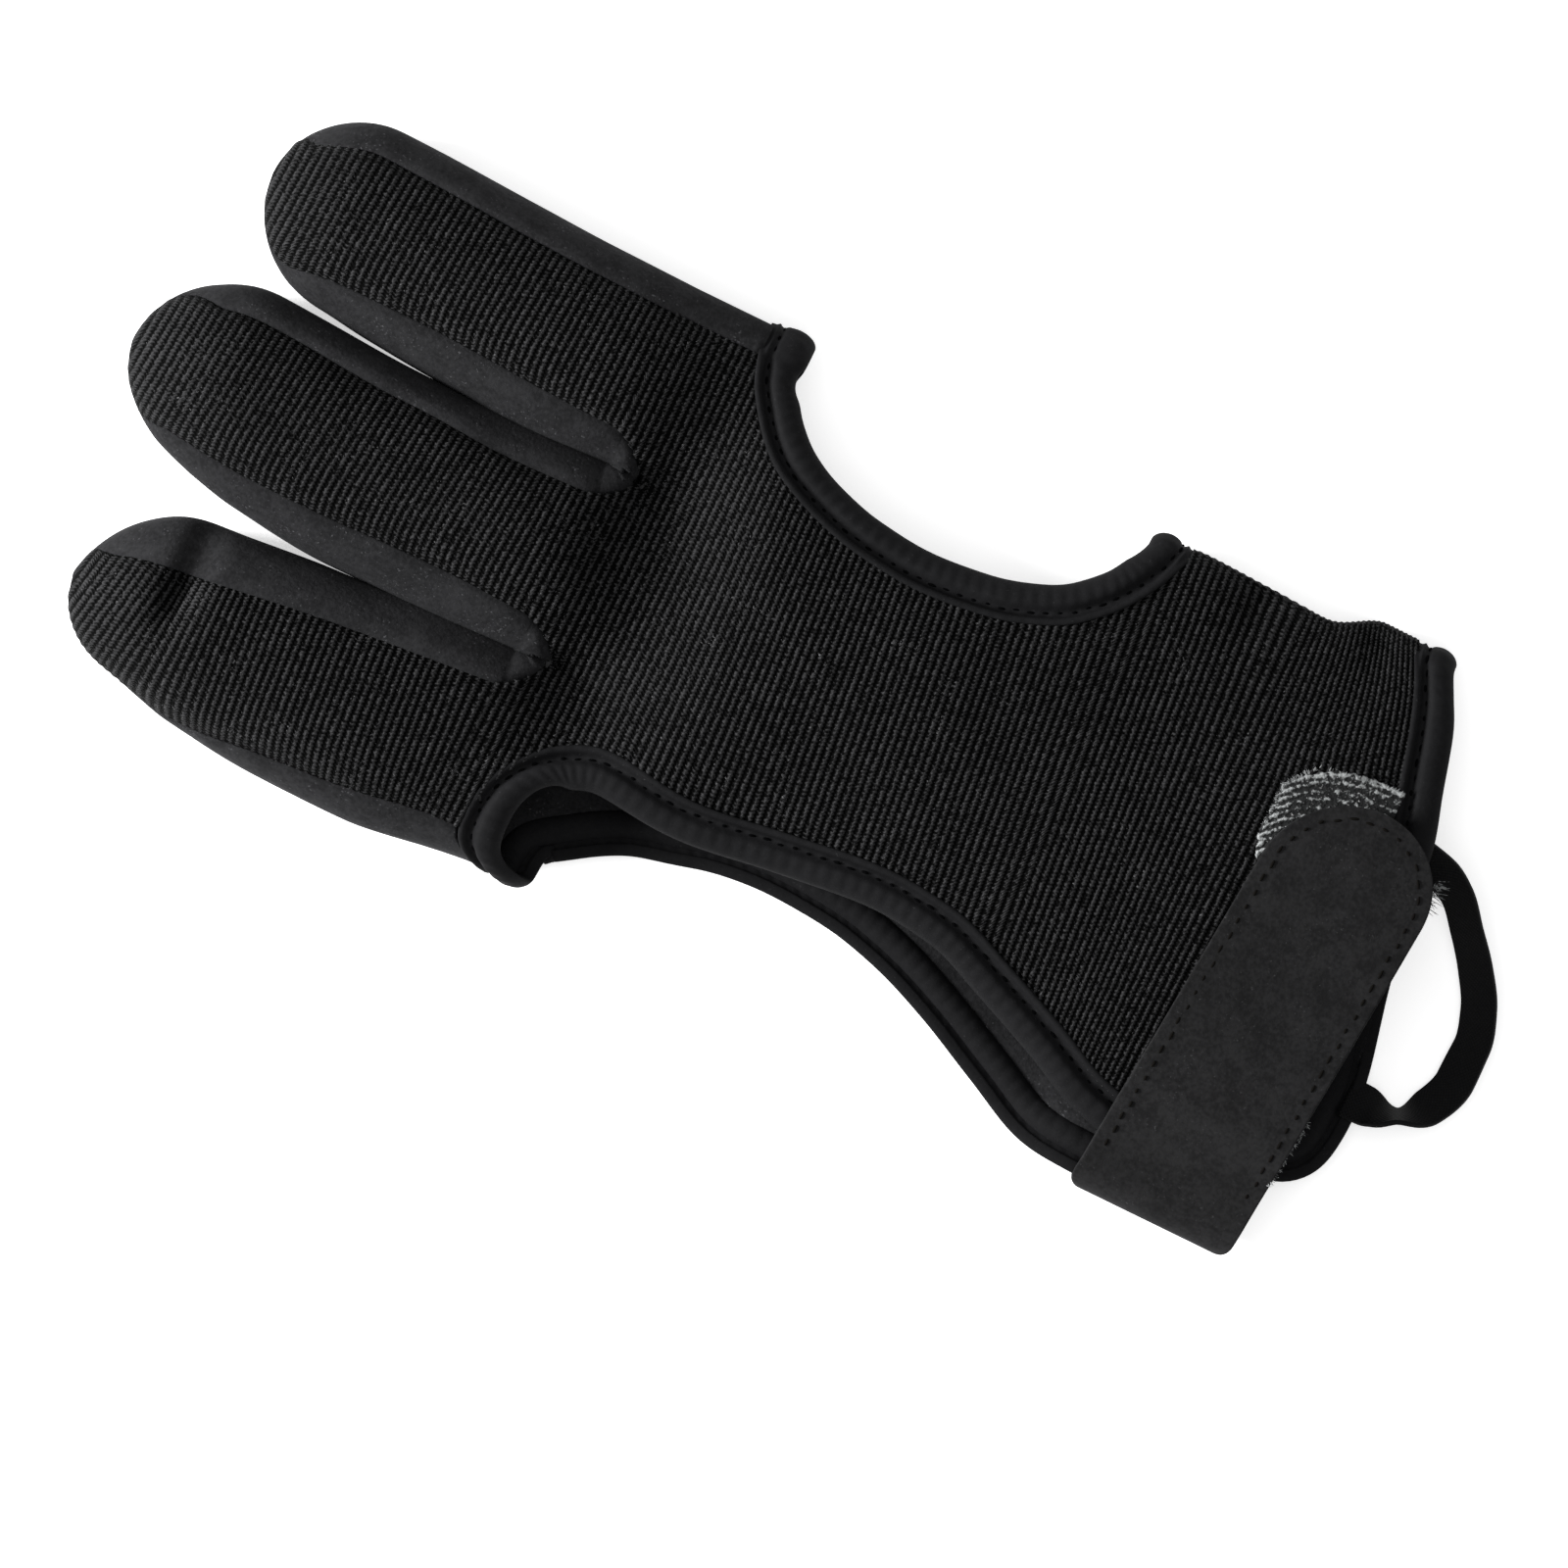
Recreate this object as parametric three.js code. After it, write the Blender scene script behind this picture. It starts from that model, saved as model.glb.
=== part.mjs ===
// Three-finger archery glove lying palm down, fingers toward -X, thumb side toward +Y.
// Millimetres, +Z up, and the lowest face rests on z = 0.
import * as THREE from "three";

// Driving sizes
const gloveLength = 200; // longest fingertip to the wrist hem
const gloveWidth = 90.4; // closure fold to the thumb side
const loopReach = 13.4; // pull loop past the wrist hem
const gloveHeight = 17.5; // crown over the knuckles
const fingerWidth = 27;
const clothThickness = 1.5;
const tapeWidth = 5;
const tapeThickness = 1.9;
const tapeProud = 0.35; // how far a binding stands above the cloth beside it
const strapWidth = 24.6;
const strapThickness = 1.4;
const patchThickness = 0.9;
const ribbonWidth = 6;
const ribbonThickness = 0.8;
const seamGap = 0.3; // clearance between two pieces sewn edge to edge
const layGap = 0.3; // clearance between two pieces lying on each other
const tapeGap = 0.55; // clearance between a binding and the edge of its cloth

// Shape of every closed section: how square the top and the underside are, and where its widest line is
const sectionShape = {
  topPower: 2.15, underPower: 3.2, handTopPower: 1.9, handUnderPower: 5, midShare: 0.43,
};

// Grid density
const cells = { finger: 6, gap: 2, wrap: 3, strip: 4, palmFinger: 4, tipRows: 6, fingerRows: 8 };
const tapeRows = { thumb: 20, sideBack: 22, sidePalm: 16, hemBack: 12, hemPalm: 14 };
const strapRows = { across: 6, fold: 6, over: 16 };
const patchCells = { along: 12, across: 6 };
const ribbonCells = 30;
const palmSparseRows = 20; // the palm takes every second hand row before this one

// Shares of the glove's length from the longest fingertip, and of its width from the closure fold
const alongX = (share) => share * gloveLength - (gloveLength + loopReach) / 2;
const acrossY = (share) => (share - 0.5) * gloveWidth;

// Fingers, one row per section. along: share of gloveLength; middle: share of gloveWidth;
// half: half width as a share of fingerWidth; thumbSeam, littleSeam: where the back's seams run,
// as shares of the half width; loft: height as a share of gloveHeight
const fingerA = {
  tip: 0.0365,
  tipLength: 14,
  rows: [
    { along: 0.037, middle: 0.8595, half: 0.49, thumbSeam: 0.9, littleSeam: 1, loft: 0.84 },
    { along: 0.062, middle: 0.8562, half: 0.49, thumbSeam: 0.66, littleSeam: 0.96, loft: 0.88 },
    { along: 0.097, middle: 0.854, half: 0.49, thumbSeam: 0.7, littleSeam: 0.76, loft: 0.93 },
    { along: 0.147, middle: 0.8462, half: 0.505, thumbSeam: 0.7, littleSeam: 0.66, loft: 0.97 },
    { along: 0.212, middle: 0.8374, half: 0.512, thumbSeam: 0.7, littleSeam: 0.6, loft: 0.98 },
    { along: 0.277, middle: 0.833, half: 0.508, thumbSeam: 0.69, littleSeam: 0.62, loft: 0.98 },
    { along: 0.337, middle: 0.8374, half: 0.485, thumbSeam: 0.68, littleSeam: 0.7, loft: 0.98 },
  ],
};
const fingerB = {
  tip: 0,
  tipLength: 16,
  rows: [
    { along: 0.002, middle: 0.542, half: 0.485, thumbSeam: 1, littleSeam: 1, loft: 0.84 },
    { along: 0.022, middle: 0.5454, half: 0.485, thumbSeam: 0.9, littleSeam: 1, loft: 0.88 },
    { along: 0.052, middle: 0.5454, half: 0.49, thumbSeam: 0.7, littleSeam: 0.83, loft: 0.93 },
    { along: 0.112, middle: 0.531, half: 0.525, thumbSeam: 0.72, littleSeam: 0.72, loft: 0.98 },
    { along: 0.187, middle: 0.5188, half: 0.537, thumbSeam: 0.72, littleSeam: 0.63, loft: 1 },
    { along: 0.262, middle: 0.5177, half: 0.52, thumbSeam: 0.69, littleSeam: 0.61, loft: 1 },
    { along: 0.337, middle: 0.5232, half: 0.505, thumbSeam: 0.71, littleSeam: 0.7, loft: 1 },
  ],
};
const fingerC = {
  tip: 0.0345,
  tipLength: 15,
  rows: [
    { along: 0.037, middle: 0.1748, half: 0.44, thumbSeam: 0.8, littleSeam: 1, loft: 0.8 },
    { along: 0.057, middle: 0.1836, half: 0.455, thumbSeam: 0.46, littleSeam: 1, loft: 0.86 },
    { along: 0.092, middle: 0.1925, half: 0.465, thumbSeam: 0.39, littleSeam: 1, loft: 0.92 },
    { along: 0.137, middle: 0.1858, half: 0.51, thumbSeam: 0.48, littleSeam: 0.98, loft: 0.96 },
    { along: 0.202, middle: 0.1847, half: 0.555, thumbSeam: 0.57, littleSeam: 0.85, loft: 0.98 },
    { along: 0.272, middle: 0.1869, half: 0.57, thumbSeam: 0.63, littleSeam: 0.75, loft: 0.98 },
    { along: 0.337, middle: 0.1914, half: 0.56, thumbSeam: 0.68, littleSeam: 0.66, loft: 0.98 },
  ],
};
const fingers = [fingerA, fingerB, fingerC];

// The hand, one row per section: where the section would close at either side, and its crown
const handRows = [
  { along: 0.187, thumbLimit: 0.9945, littleLimit: 0.0177, crown: 0.98 },
  { along: 0.352, thumbLimit: 0.9845, littleLimit: 0.0111, crown: 1 },
  { along: 0.397, thumbLimit: 0.9889, littleLimit: 0.0155, crown: 1 },
  { along: 0.447, thumbLimit: 0.9447, littleLimit: 0.0708, crown: 0.96 },
  { along: 0.487, thumbLimit: 0.8783, littleLimit: 0.1206, crown: 0.92 },
  { along: 0.562, thumbLimit: 0.8396, littleLimit: 0.1538, crown: 0.86 },
  { along: 0.637, thumbLimit: 0.8673, littleLimit: 0.1372, crown: 0.83 },
  { along: 0.697, thumbLimit: 0.9447, littleLimit: 0.0985, crown: 0.81 },
  { along: 0.737, thumbLimit: 0.9613, littleLimit: 0.0487, crown: 0.79 },
  { along: 0.787, thumbLimit: 0.9591, littleLimit: 0.0044, crown: 0.76 },
  { along: 0.837, thumbLimit: 0.9535, littleLimit: -0.0177, crown: 0.73 },
  { along: 0.902, thumbLimit: 0.9867, littleLimit: -0.0177, crown: 0.7 },
  { along: 1.002, thumbLimit: 0.9867, littleLimit: -0.0177, crown: 0.68 },
];

// Dents and folds of the soft cloth: place, size as shares of fingerWidth, depth as a share of gloveHeight
const dents = [
  { along: 0.092, across: 0.198, length: 0.12, width: 0.22, depth: 0.12 },
  { along: 0.457, across: 0.5354, length: 0.7, width: 0.35, depth: 0.05 },
  { along: 0.762, across: 0.7124, length: 0.5, width: 0.3, depth: 0.05 },
  { along: 0.817, across: 0.9115, length: 0.22, width: 0.5, depth: 0.05 },
  { along: 0.387, across: 0.8341, length: 0.25, width: 0.3, depth: 0.04 },
];

// Edge of the ribbed back on its thumb side: beside finger A, round the thumb opening, then to the fold
const backThumbEdge = [
  { along: 0.332, across: 0.9336 },
  { along: 0.387, across: 0.9425 },
  { along: 0.394, across: 0.9381 },
  { along: 0.4, across: 0.9004 },
  { along: 0.412, across: 0.8617 },
  { along: 0.427, across: 0.823 },
  { along: 0.447, across: 0.7898 },
  { along: 0.487, across: 0.7511 },
  { along: 0.517, across: 0.7345 },
  { along: 0.562, across: 0.7246 },
  { along: 0.612, across: 0.7345 },
  { along: 0.662, across: 0.7699 },
  { along: 0.692, across: 0.823 },
  { along: 0.707, across: 0.8673 },
  { along: 0.717, across: 0.9115 },
  { along: 0.723, across: 0.9425 },
  { along: 0.737, across: 0.9469 },
  { along: 0.837, across: 0.9381 },
  { along: 0.902, across: 0.9668 },
  { along: 1.002, across: 0.9668 },
];

// Edge of the ribbed back on its little-finger side, where the side opening's binding is sewn
const backLittleEdge = [
  { along: 0.332, across: 0.0774 },
  { along: 0.351, across: 0.0819 },
  { along: 0.355, across: 0.1372 },
  { along: 0.362, across: 0.1814 },
  { along: 0.377, across: 0.2257 },
  { along: 0.397, across: 0.2588 },
  { along: 0.422, across: 0.2788 },
  { along: 0.487, across: 0.2644 },
  { along: 0.562, across: 0.2854 },
  { along: 0.637, across: 0.3031 },
  { along: 0.687, across: 0.292 },
  { along: 0.737, across: 0.25 },
  { along: 0.787, across: 0.2035 },
  { along: 0.837, across: 0.1538 },
  { along: 0.907, across: 0.1316 },
  { along: 1.002, across: 0.1316 },
];

// Edge of the palm on its little-finger side
const palmLittleEdge = [
  { along: 0.332, across: 0.0597 },
  { along: 0.352, across: 0.0642 },
  { along: 0.382, across: 0.0885 },
  { along: 0.412, across: 0.1173 },
  { along: 0.437, across: 0.1637 },
  { along: 0.462, across: 0.2035 },
  { along: 0.487, across: 0.2257 },
  { along: 0.522, across: 0.2456 },
  { along: 0.562, across: 0.2533 },
  { along: 0.612, across: 0.2467 },
  { along: 0.662, across: 0.2212 },
  { along: 0.712, across: 0.177 },
  { along: 0.762, across: 0.1239 },
  { along: 0.812, across: 0.0752 },
  { along: 0.867, across: 0.0708 },
  { along: 0.937, across: 0.1261 },
  { along: 1.002, across: 0.1925 },
];

// Wrist hem, where its binding is sewn: the back's and the palm's line, across the glove
const backHem = [
  { across: 0.1261, along: 0.9395 },
  { across: 0.469, along: 0.9435 },
  { across: 0.6681, along: 0.942 },
  { across: 0.7788, along: 0.9295 },
  { across: 0.8894, along: 0.915 },
  { across: 0.9889, along: 0.8945 },
];
const palmHem = [
  { across: 0.104, along: 0.9495 },
  { across: 0.1814, along: 0.967 },
  { across: 0.2699, along: 0.973 },
  { across: 0.4912, along: 0.955 },
  { across: 0.7124, along: 0.937 },
  { across: 0.8894, along: 0.912 },
  { across: 0.9889, along: 0.892 },
];

// Where one region of the glove ends and the next begins, as shares of gloveLength
const stations = {
  blendStart: 0.247,
  blendEnd: 0.427,
  lastFingerRow: 0.332,
  crotchSide: 0.349,
  crotchEnd: 0.357,
  thumbStart: 0.393,
  thumbEnd: 0.726,
  hemLean: 0.817,
  mouthStart: 0.351,
  bindingEnd: 0.837,
  evenColumns: 0.527,
};
const crotchAcross = [0.6792, 0.3695];
const crotchHalf = 0.07; // half the width of a crotch's rounded end, as a share of fingerWidth
const handStations = [
  0.35, 0.354, 0.362, 0.3745, 0.387, 0.394, 0.3995, 0.407, 0.4195, 0.437, 0.457, 0.482,
  0.512, 0.542, 0.572, 0.602, 0.632, 0.657, 0.677, 0.6945, 0.707, 0.717, 0.7235, 0.728, 0.747, 0.777,
  0.807, 0.837, 0.867, 0.897, 0.927, 0.942,
];

const clamp = THREE.MathUtils.clamp;
const mix = THREE.MathUtils.lerp;
const vector = (x, y, z) => new THREE.Vector3(x, y, z);

function eased(value, from, to) {
  return THREE.MathUtils.smoothstep(value, Math.min(from, to), Math.max(from, to));
}

// Value of a column where another column has the given value, by a cubic that never overshoots its rows
function readTable(rows, column, key, at) {
  const last = rows.length - 1;
  if (at <= rows[0][key]) return rows[0][column];
  if (at >= rows[last][key]) return rows[last][column];
  const slope = (i) => (rows[i + 1][column] - rows[i][column]) / (rows[i + 1][key] - rows[i][key]);
  const tangent = (i) => {
    if (i === 0) return slope(0);
    if (i === last) return slope(last - 1);
    const before = slope(i - 1);
    const after = slope(i);
    return before * after <= 0 ? 0 : (2 * before * after) / (before + after);
  };
  const i = rows.findIndex((row, n) => n < last && at >= row[key] && at < rows[n + 1][key]);
  const span = rows[i + 1][key] - rows[i][key];
  const t = (at - rows[i][key]) / span;
  const start = (1 + 2 * t) * (1 - t) ** 2 * rows[i][column] + t * (1 - t) ** 2 * span * tangent(i);
  const end = t * t * (3 - 2 * t) * rows[i + 1][column] + t * t * (t - 1) * span * tangent(i + 1);
  return start + end;
}
const shareOfX = (x) => (x + (gloveLength + loopReach) / 2) / gloveLength;
const shareOfY = (y) => y / gloveWidth + 0.5;
const edgeY = (rows, x) => acrossY(readTable(rows, "across", "along", shareOfX(x)));
const hemX = (rows, y) => alongX(readTable(rows, "along", "across", shareOfY(y)));

// Height over the widest line at a lateral share u of the half width
const arch = (u, power) => (1 - Math.min(Math.abs(u), 1) ** power) ** (1 / power);

const palmSeam = 0.86; // where the palm's seams run, as a share of a finger's half width
const [stripStart, stripFull] = [0.04, 0.32]; // share of the tip's length over which the side strips open
// Section of a finger at x: its middle, half width, widest line's height, top, and how closed the tip is
function fingerSection(finger, x) {
  const read = (column) => readTable(finger.rows, column, "along", shareOfX(x));
  const reach = clamp((x - alongX(finger.tip)) / finger.tipLength, 0, 1);
  const closing = Math.sqrt(1 - (1 - reach) ** 2);
  const opening = eased(reach, stripStart, stripFull);
  const top = gloveHeight * read("loft");
  const mid = top * sectionShape.midShare;
  return {
    middle: acrossY(read("middle")),
    half: fingerWidth * read("half") * closing,
    mid,
    rise: (top - mid) * closing,
    drop: mid * closing,
    thumbSeam: mix(1, read("thumbSeam"), opening),
    littleSeam: mix(1, read("littleSeam"), opening),
    palmSeam: mix(1, palmSeam, opening),
  };
}

// Point of a finger's outside at an angle round its section: 0 at the thumb side, 90 on top, 180 little side
function fingerPoint(finger, x, angle) {
  const section = fingerSection(finger, x);
  const over = Math.sin(angle) >= 0;
  const power = over ? sectionShape.topPower : sectionShape.underPower;
  const sideways = Math.sign(Math.cos(angle)) * Math.abs(Math.cos(angle)) ** (2 / power);
  const upward = Math.abs(Math.sin(angle)) ** (2 / power);
  const z = section.mid + upward * (over ? section.rise : -section.drop);
  return vector(x, section.middle + section.half * sideways, z);
}
const sectionAngle = (u, power) => Math.acos(Math.sign(u) * Math.min(Math.abs(u), 1) ** (power / 2));
const topAngle = (u) => sectionAngle(u, sectionShape.topPower);
const underAngle = (u) => -sectionAngle(u, sectionShape.underPower);

function handSection(x) {
  const read = (column) => readTable(handRows, column, "along", shareOfX(x));
  const thumb = acrossY(read("thumbLimit"));
  const little = acrossY(read("littleLimit"));
  const top = gloveHeight * read("crown");
  return { middle: (thumb + little) / 2, half: (thumb - little) / 2, top, mid: top * sectionShape.midShare };
}

// Height of the hand's own section over and under a place
function handTop(hand, y) {
  return hand.mid + (hand.top - hand.mid) * arch((y - hand.middle) / hand.half, sectionShape.handTopPower);
}
function handUnder(hand, y) {
  return hand.mid * (1 - arch((y - hand.middle) / hand.half, sectionShape.handUnderPower));
}

function dentDepth(x, y) {
  return dents.reduce((sum, dent) => {
    const dx = (x - alongX(dent.along)) / (dent.length * fingerWidth);
    const dy = (y - acrossY(dent.across)) / (dent.width * fingerWidth);
    return sum + dent.depth * gloveHeight * Math.exp(-(dx * dx + dy * dy));
  }, 0);
}

// How far the fingers have merged into the hand at x
const merging = (x) => eased(x, alongX(stations.blendStart), alongX(stations.blendEnd));

// Height of the back's outside at a place in plan
function topHeight(x, y) {
  const hand = handSection(x);
  const handZ = handTop(hand, y);
  const fingerZ = Math.max(...fingers.map((finger) => {
    const section = fingerSection(finger, x);
    return section.mid + section.rise * arch((y - section.middle) / section.half, sectionShape.topPower);
  }));
  return mix(fingerZ, handZ, merging(x)) - dentDepth(x, y);
}

// Height of the palm's outside: it lies on the surface, and is raised where the closure is sewn under it
function underHeight(x, y) {
  const hand = handSection(x);
  const handZ = handUnder(hand, y);
  const fingerZ = Math.min(...fingers.map((finger) => {
    const section = fingerSection(finger, x);
    return section.mid - section.drop * arch((y - section.middle) / section.half, sectionShape.underPower);
  }));
  return mix(fingerZ, handZ, merging(x)) + strapRoom(x, y);
}
const strapRoomShape = { from: 0.787, to: 0.832, inner: 0.4027, outer: 0.2699 };
function strapRoom(x, y) {
  const lengthways = eased(x, alongX(strapRoomShape.from), alongX(strapRoomShape.to));
  const sideways = 1 - eased(y, acrossY(strapRoomShape.outer), acrossY(strapRoomShape.inner));
  return (strapThickness + layGap + tapeProud) * lengthways * sideways;
}

// Heights that a point's inner side keeps to, so that the two walls closing a fingertip stay apart
const innerLimits = new Map();
function keptInside(point, outerPoint) {
  const limit = innerLimits.get(outerPoint);
  if (limit) point.z = limit.side > 0 ? Math.max(point.z, limit.z) : Math.min(point.z, limit.z);
  return point;
}

// Outward directions shared by the two pieces sewn along a seam, so that their inner edges stay apart too
const seamNormals = new Map();
function markSeam(point, finger, x, angle) {
  const [dx, turn] = [0.05, 0.01];
  const lengthways = fingerPoint(finger, x + dx, angle).sub(fingerPoint(finger, x, angle));
  const around = fingerPoint(finger, x, angle + turn).sub(fingerPoint(finger, x, angle - turn));
  seamNormals.set(point, around.cross(lengthways).normalize());
}

// Closed solid from a grid of points on a sheet's outside. The outside faces (next column) x (next row),
// or the other way round when turned; lift moves the outside along its normal;
// ring joins the last row to the first
function sheetSolid(grid, thickness, { used = () => true, lift = 0, ring = false, turned = false } = {}) {
  const rows = grid.length;
  const columns = grid[0].length;
  const node = (i, j) => (i % rows) * columns + j;
  const place = grid.flat();
  const normals = place.map(() => vector(0, 0, 0));
  const quads = [];
  for (let i = 0; i < (ring ? rows : rows - 1); i += 1) {
    for (let j = 0; j < columns - 1; j += 1) {
      if (!used(i, j)) continue;
      const quad = [node(i, j), node(i, j + 1), node(i + 1, j + 1), node(i + 1, j)];
      quads.push(turned ? quad.reverse() : quad);
    }
  }
  for (const [a, b, c, d] of quads) {
    const across = place[c].clone().sub(place[a]);
    const normal = across.cross(place[d].clone().sub(place[b]));
    [a, b, c, d].forEach((corner) => normals[corner].add(normal));
  }
  normals.forEach((normal, n) => normal.copy(seamNormals.get(place[n]) ?? normal.normalize()));
  const outer = place.map((point, n) => point.clone().addScaledVector(normals[n], lift));
  const inner = outer.map((point, n) => (
    keptInside(point.clone().addScaledVector(normals[n], -thickness), place[n])));
  const edges = new Set(quads.flatMap((quad) => quad.map((a, n) => `${a},${quad[(n + 1) % 4]}`)));
  const back = place.length;
  const faces = [];
  for (const quad of quads) {
    const [a, b, c, d] = quad;
    faces.push(a, b, c, a, c, d);
    faces.push(a + back, c + back, b + back, a + back, d + back, c + back);
    quad.forEach((p, n) => {
      const q = quad[(n + 1) % 4];
      if (!edges.has(`${q},${p}`)) faces.push(q, p, p + back, q, p + back, q + back);
    });
  }
  const geometry = new THREE.BufferGeometry();
  const positions = [...outer, ...inner].flatMap((p) => p.toArray());
  geometry.setAttribute("position", new THREE.Float32BufferAttribute(positions, 3));
  geometry.setIndex(faces);
  return geometry;
}

// Angles round a finger's section between which its side strip lies: from the back's seam to the palm's
function stripAngles(finger, x, side) {
  const section = fingerSection(finger, x);
  if (side === "thumb") return [topAngle(section.thumbSeam), underAngle(section.palmSeam)];
  return [topAngle(-section.littleSeam), 2 * Math.PI + underAngle(-section.palmSeam)];
}

const firstTipTurn = 12; // degrees round a tip's curve at its first open row
const gentlestSeam = 0.2; // smallest rise of a seam that lifts the strip beside it
// Rows of a finger, from its tip: the first row closes the tip, the next ones round it
function fingerStations(finger) {
  const tip = alongX(finger.tip);
  const last = alongX(stations.lastFingerRow);
  const first = THREE.MathUtils.degToRad(firstTipTurn);
  const round = Array.from({ length: cells.tipRows + 1 }, (_, i) => {
    const turn = mix(first, Math.PI / 2, i / cells.tipRows);
    return tip + finger.tipLength * (1 - Math.cos(turn));
  });
  const start = round[round.length - 1];
  const straight = Array.from({ length: cells.fingerRows }, (_, i) => (
    mix(start, last, (i + 1) / cells.fingerRows)));
  return [tip, ...round, ...straight];
}
const fingerRowCount = cells.tipRows + cells.fingerRows + 2;
const stationsOf = new Map(fingers.map((finger) => [finger, fingerStations(finger)]));

// A point of a finger's outside with the hand's shape mixed in toward the root
function mergedTop(finger, x, angle) {
  const point = fingerPoint(finger, x, angle);
  point.z = mix(point.z, handTop(handSection(x), point.y), merging(x)) - dentDepth(x, point.y);
  return point;
}
function mergedUnder(finger, x, angle) {
  const point = fingerPoint(finger, x, angle);
  point.z = mix(point.z, handUnder(handSection(x), point.y), merging(x));
  return point;
}

// Tip row: the section flattened onto its widest line, just above it or just below
function tipPoint(finger, x, angle, side) {
  const point = fingerPoint(finger, x, angle);
  point.x = alongX(finger.tip);
  point.z = fingerSection(finger, x).mid + side * seamGap;
  return point;
}

// One row of nodes across a finger's back or palm, between two angles
function fingerRow(finger, i, count, anglesAt, pointAt, side) {
  const xs = stationsOf.get(finger);
  const x = i === 0 ? xs[1] : xs[i];
  const [from, to] = anglesAt(x);
  return Array.from({ length: count + 1 }, (_, k) => {
    const angle = mix(from, to, k / count);
    const point = i === 0 ? tipPoint(finger, x, angle, side) : pointAt(finger, x, angle);
    const limit = fingerSection(finger, x).mid + side * seamGap;
    if (i <= cells.tipRows) innerLimits.set(point, { side, z: limit });
    if (i > 1 && (k === 0 || k === count)) markSeam(point, finger, x, angle);
    return point;
  });
}

// Nodes across the hand: anchors at both edges and both crotches, spread evenly toward the wrist
function handColumns(x, thumbEdge, littleEdge, perFinger, half) {
  const spread = eased(x, alongX(stations.crotchSide), alongX(stations.evenColumns));
  const [first, second] = crotchAcross.map(acrossY);
  const anchors = [thumbEdge, first + half, first - half, second + half, second - half, littleEdge];
  const counts = [perFinger, cells.gap, perFinger, cells.gap, perFinger];
  const total = counts.reduce((sum, count) => sum + count);
  const placed = [thumbEdge];
  counts.forEach((count, n) => {
    for (let k = 1; k <= count; k += 1) placed.push(mix(anchors[n], anchors[n + 1], k / count));
  });
  return placed.map((y, j) => mix(y, mix(thumbEdge, littleEdge, j / total), spread));
}
const crotchHalfWidth = crotchHalf * fingerWidth;

// Rows lean toward the hem line past the last straight station
function leanedX(x, y, hem) {
  const from = alongX(stations.hemLean);
  const to = alongX(handStations[handStations.length - 1]);
  return x <= from ? x : mix(from, hemX(hem, y), (x - from) / (to - from));
}

function backThumbY(x) {
  if (x > alongX(stations.thumbStart)) return edgeY(backThumbEdge, x);
  const section = fingerSection(fingerA, x);
  return section.middle + section.half * section.thumbSeam;
}
function backLittleY(x) {
  if (x > alongX(stations.mouthStart)) return edgeY(backLittleEdge, x);
  const section = fingerSection(fingerC, x);
  return section.middle - section.half * section.littleSeam;
}

// Point of the hand's section at an angle, 0 at the thumb side and 90 on top
function handPoint(x, angle) {
  const hand = handSection(x);
  const over = Math.sin(angle) >= 0;
  const power = over ? sectionShape.handTopPower : sectionShape.handUnderPower;
  const sideways = Math.sign(Math.cos(angle)) * Math.abs(Math.cos(angle)) ** (2 / power);
  const upward = Math.abs(Math.sin(angle)) ** (2 / power);
  const z = hand.mid + upward * (over ? hand.top - hand.mid : -hand.mid);
  return vector(x, hand.middle + hand.half * sideways, z);
}
const wrapEnd = 0.93; // where the back's wrapped edge meets the palm, as a share of the hand's half width
const wrapUnderAngle = -Math.acos(wrapEnd ** (sectionShape.handUnderPower / 2));
function wrapStartAngle(x) {
  const hand = handSection(x);
  return Math.acos(((edgeY(backThumbEdge, x) - hand.middle) / hand.half) ** (sectionShape.handTopPower / 2));
}

// The ribbed back: three finger backs and the back of the hand in one piece, wrapped round the thumb side
function backGrid() {
  const rows = [];
  for (let i = 0; i < fingerRowCount; i += 1) {
    const [a, b, c] = fingers.map((finger) => fingerRow(finger, i, cells.finger, (x) => {
      const section = fingerSection(finger, x);
      return [topAngle(section.thumbSeam), topAngle(-section.littleSeam)];
    }, mergedTop, 1));
    const between = (left, right) => Array.from({ length: cells.gap - 1 }, (_, k) => (
      left.clone().lerp(right, (k + 1) / cells.gap)));
    const wrap = Array.from({ length: cells.wrap }, () => a[0].clone());
    rows.push([...wrap, ...a, ...between(a.at(-1), b[0]), ...b, ...between(b.at(-1), c[0]), ...c]);
  }
  handStations.map(alongX).forEach((x, n) => {
    const columns = handColumns(x, backThumbY(x), backLittleY(x), cells.finger, crotchHalfWidth);
    const row = columns.map((y, j) => {
      const midGap = n === 0 && [cells.finger + 1, 2 * cells.finger + cells.gap + 1].includes(j);
      const px = midGap ? alongX(stations.crotchEnd) : leanedX(x, y, backHem);
      return vector(px, y, topHeight(px, y));
    });
    const wrap = Array.from({ length: cells.wrap }, (_, k) => {
      if (x < alongX(stations.thumbEnd)) return row[0].clone();
      const point = handPoint(x, mix(wrapUnderAngle, wrapStartAngle(x), k / cells.wrap));
      point.x = leanedX(x, point.y, backHem);
      return point;
    });
    rows.push([...wrap, ...row]);
  });
  return rows;
}
const gapColumns = (perFinger, offset) => [perFinger + offset, 2 * perFinger + cells.gap + offset];
function backUsed(i, j) {
  const inGap = gapColumns(cells.finger, cells.wrap).some((start) => j >= start && j < start + cells.gap);
  if (inGap) return i >= fingerRowCount;
  if (j >= cells.wrap) return true;
  return i >= fingerRowCount && alongX(handStations[i - fingerRowCount]) >= alongX(stations.thumbEnd);
}

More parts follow.
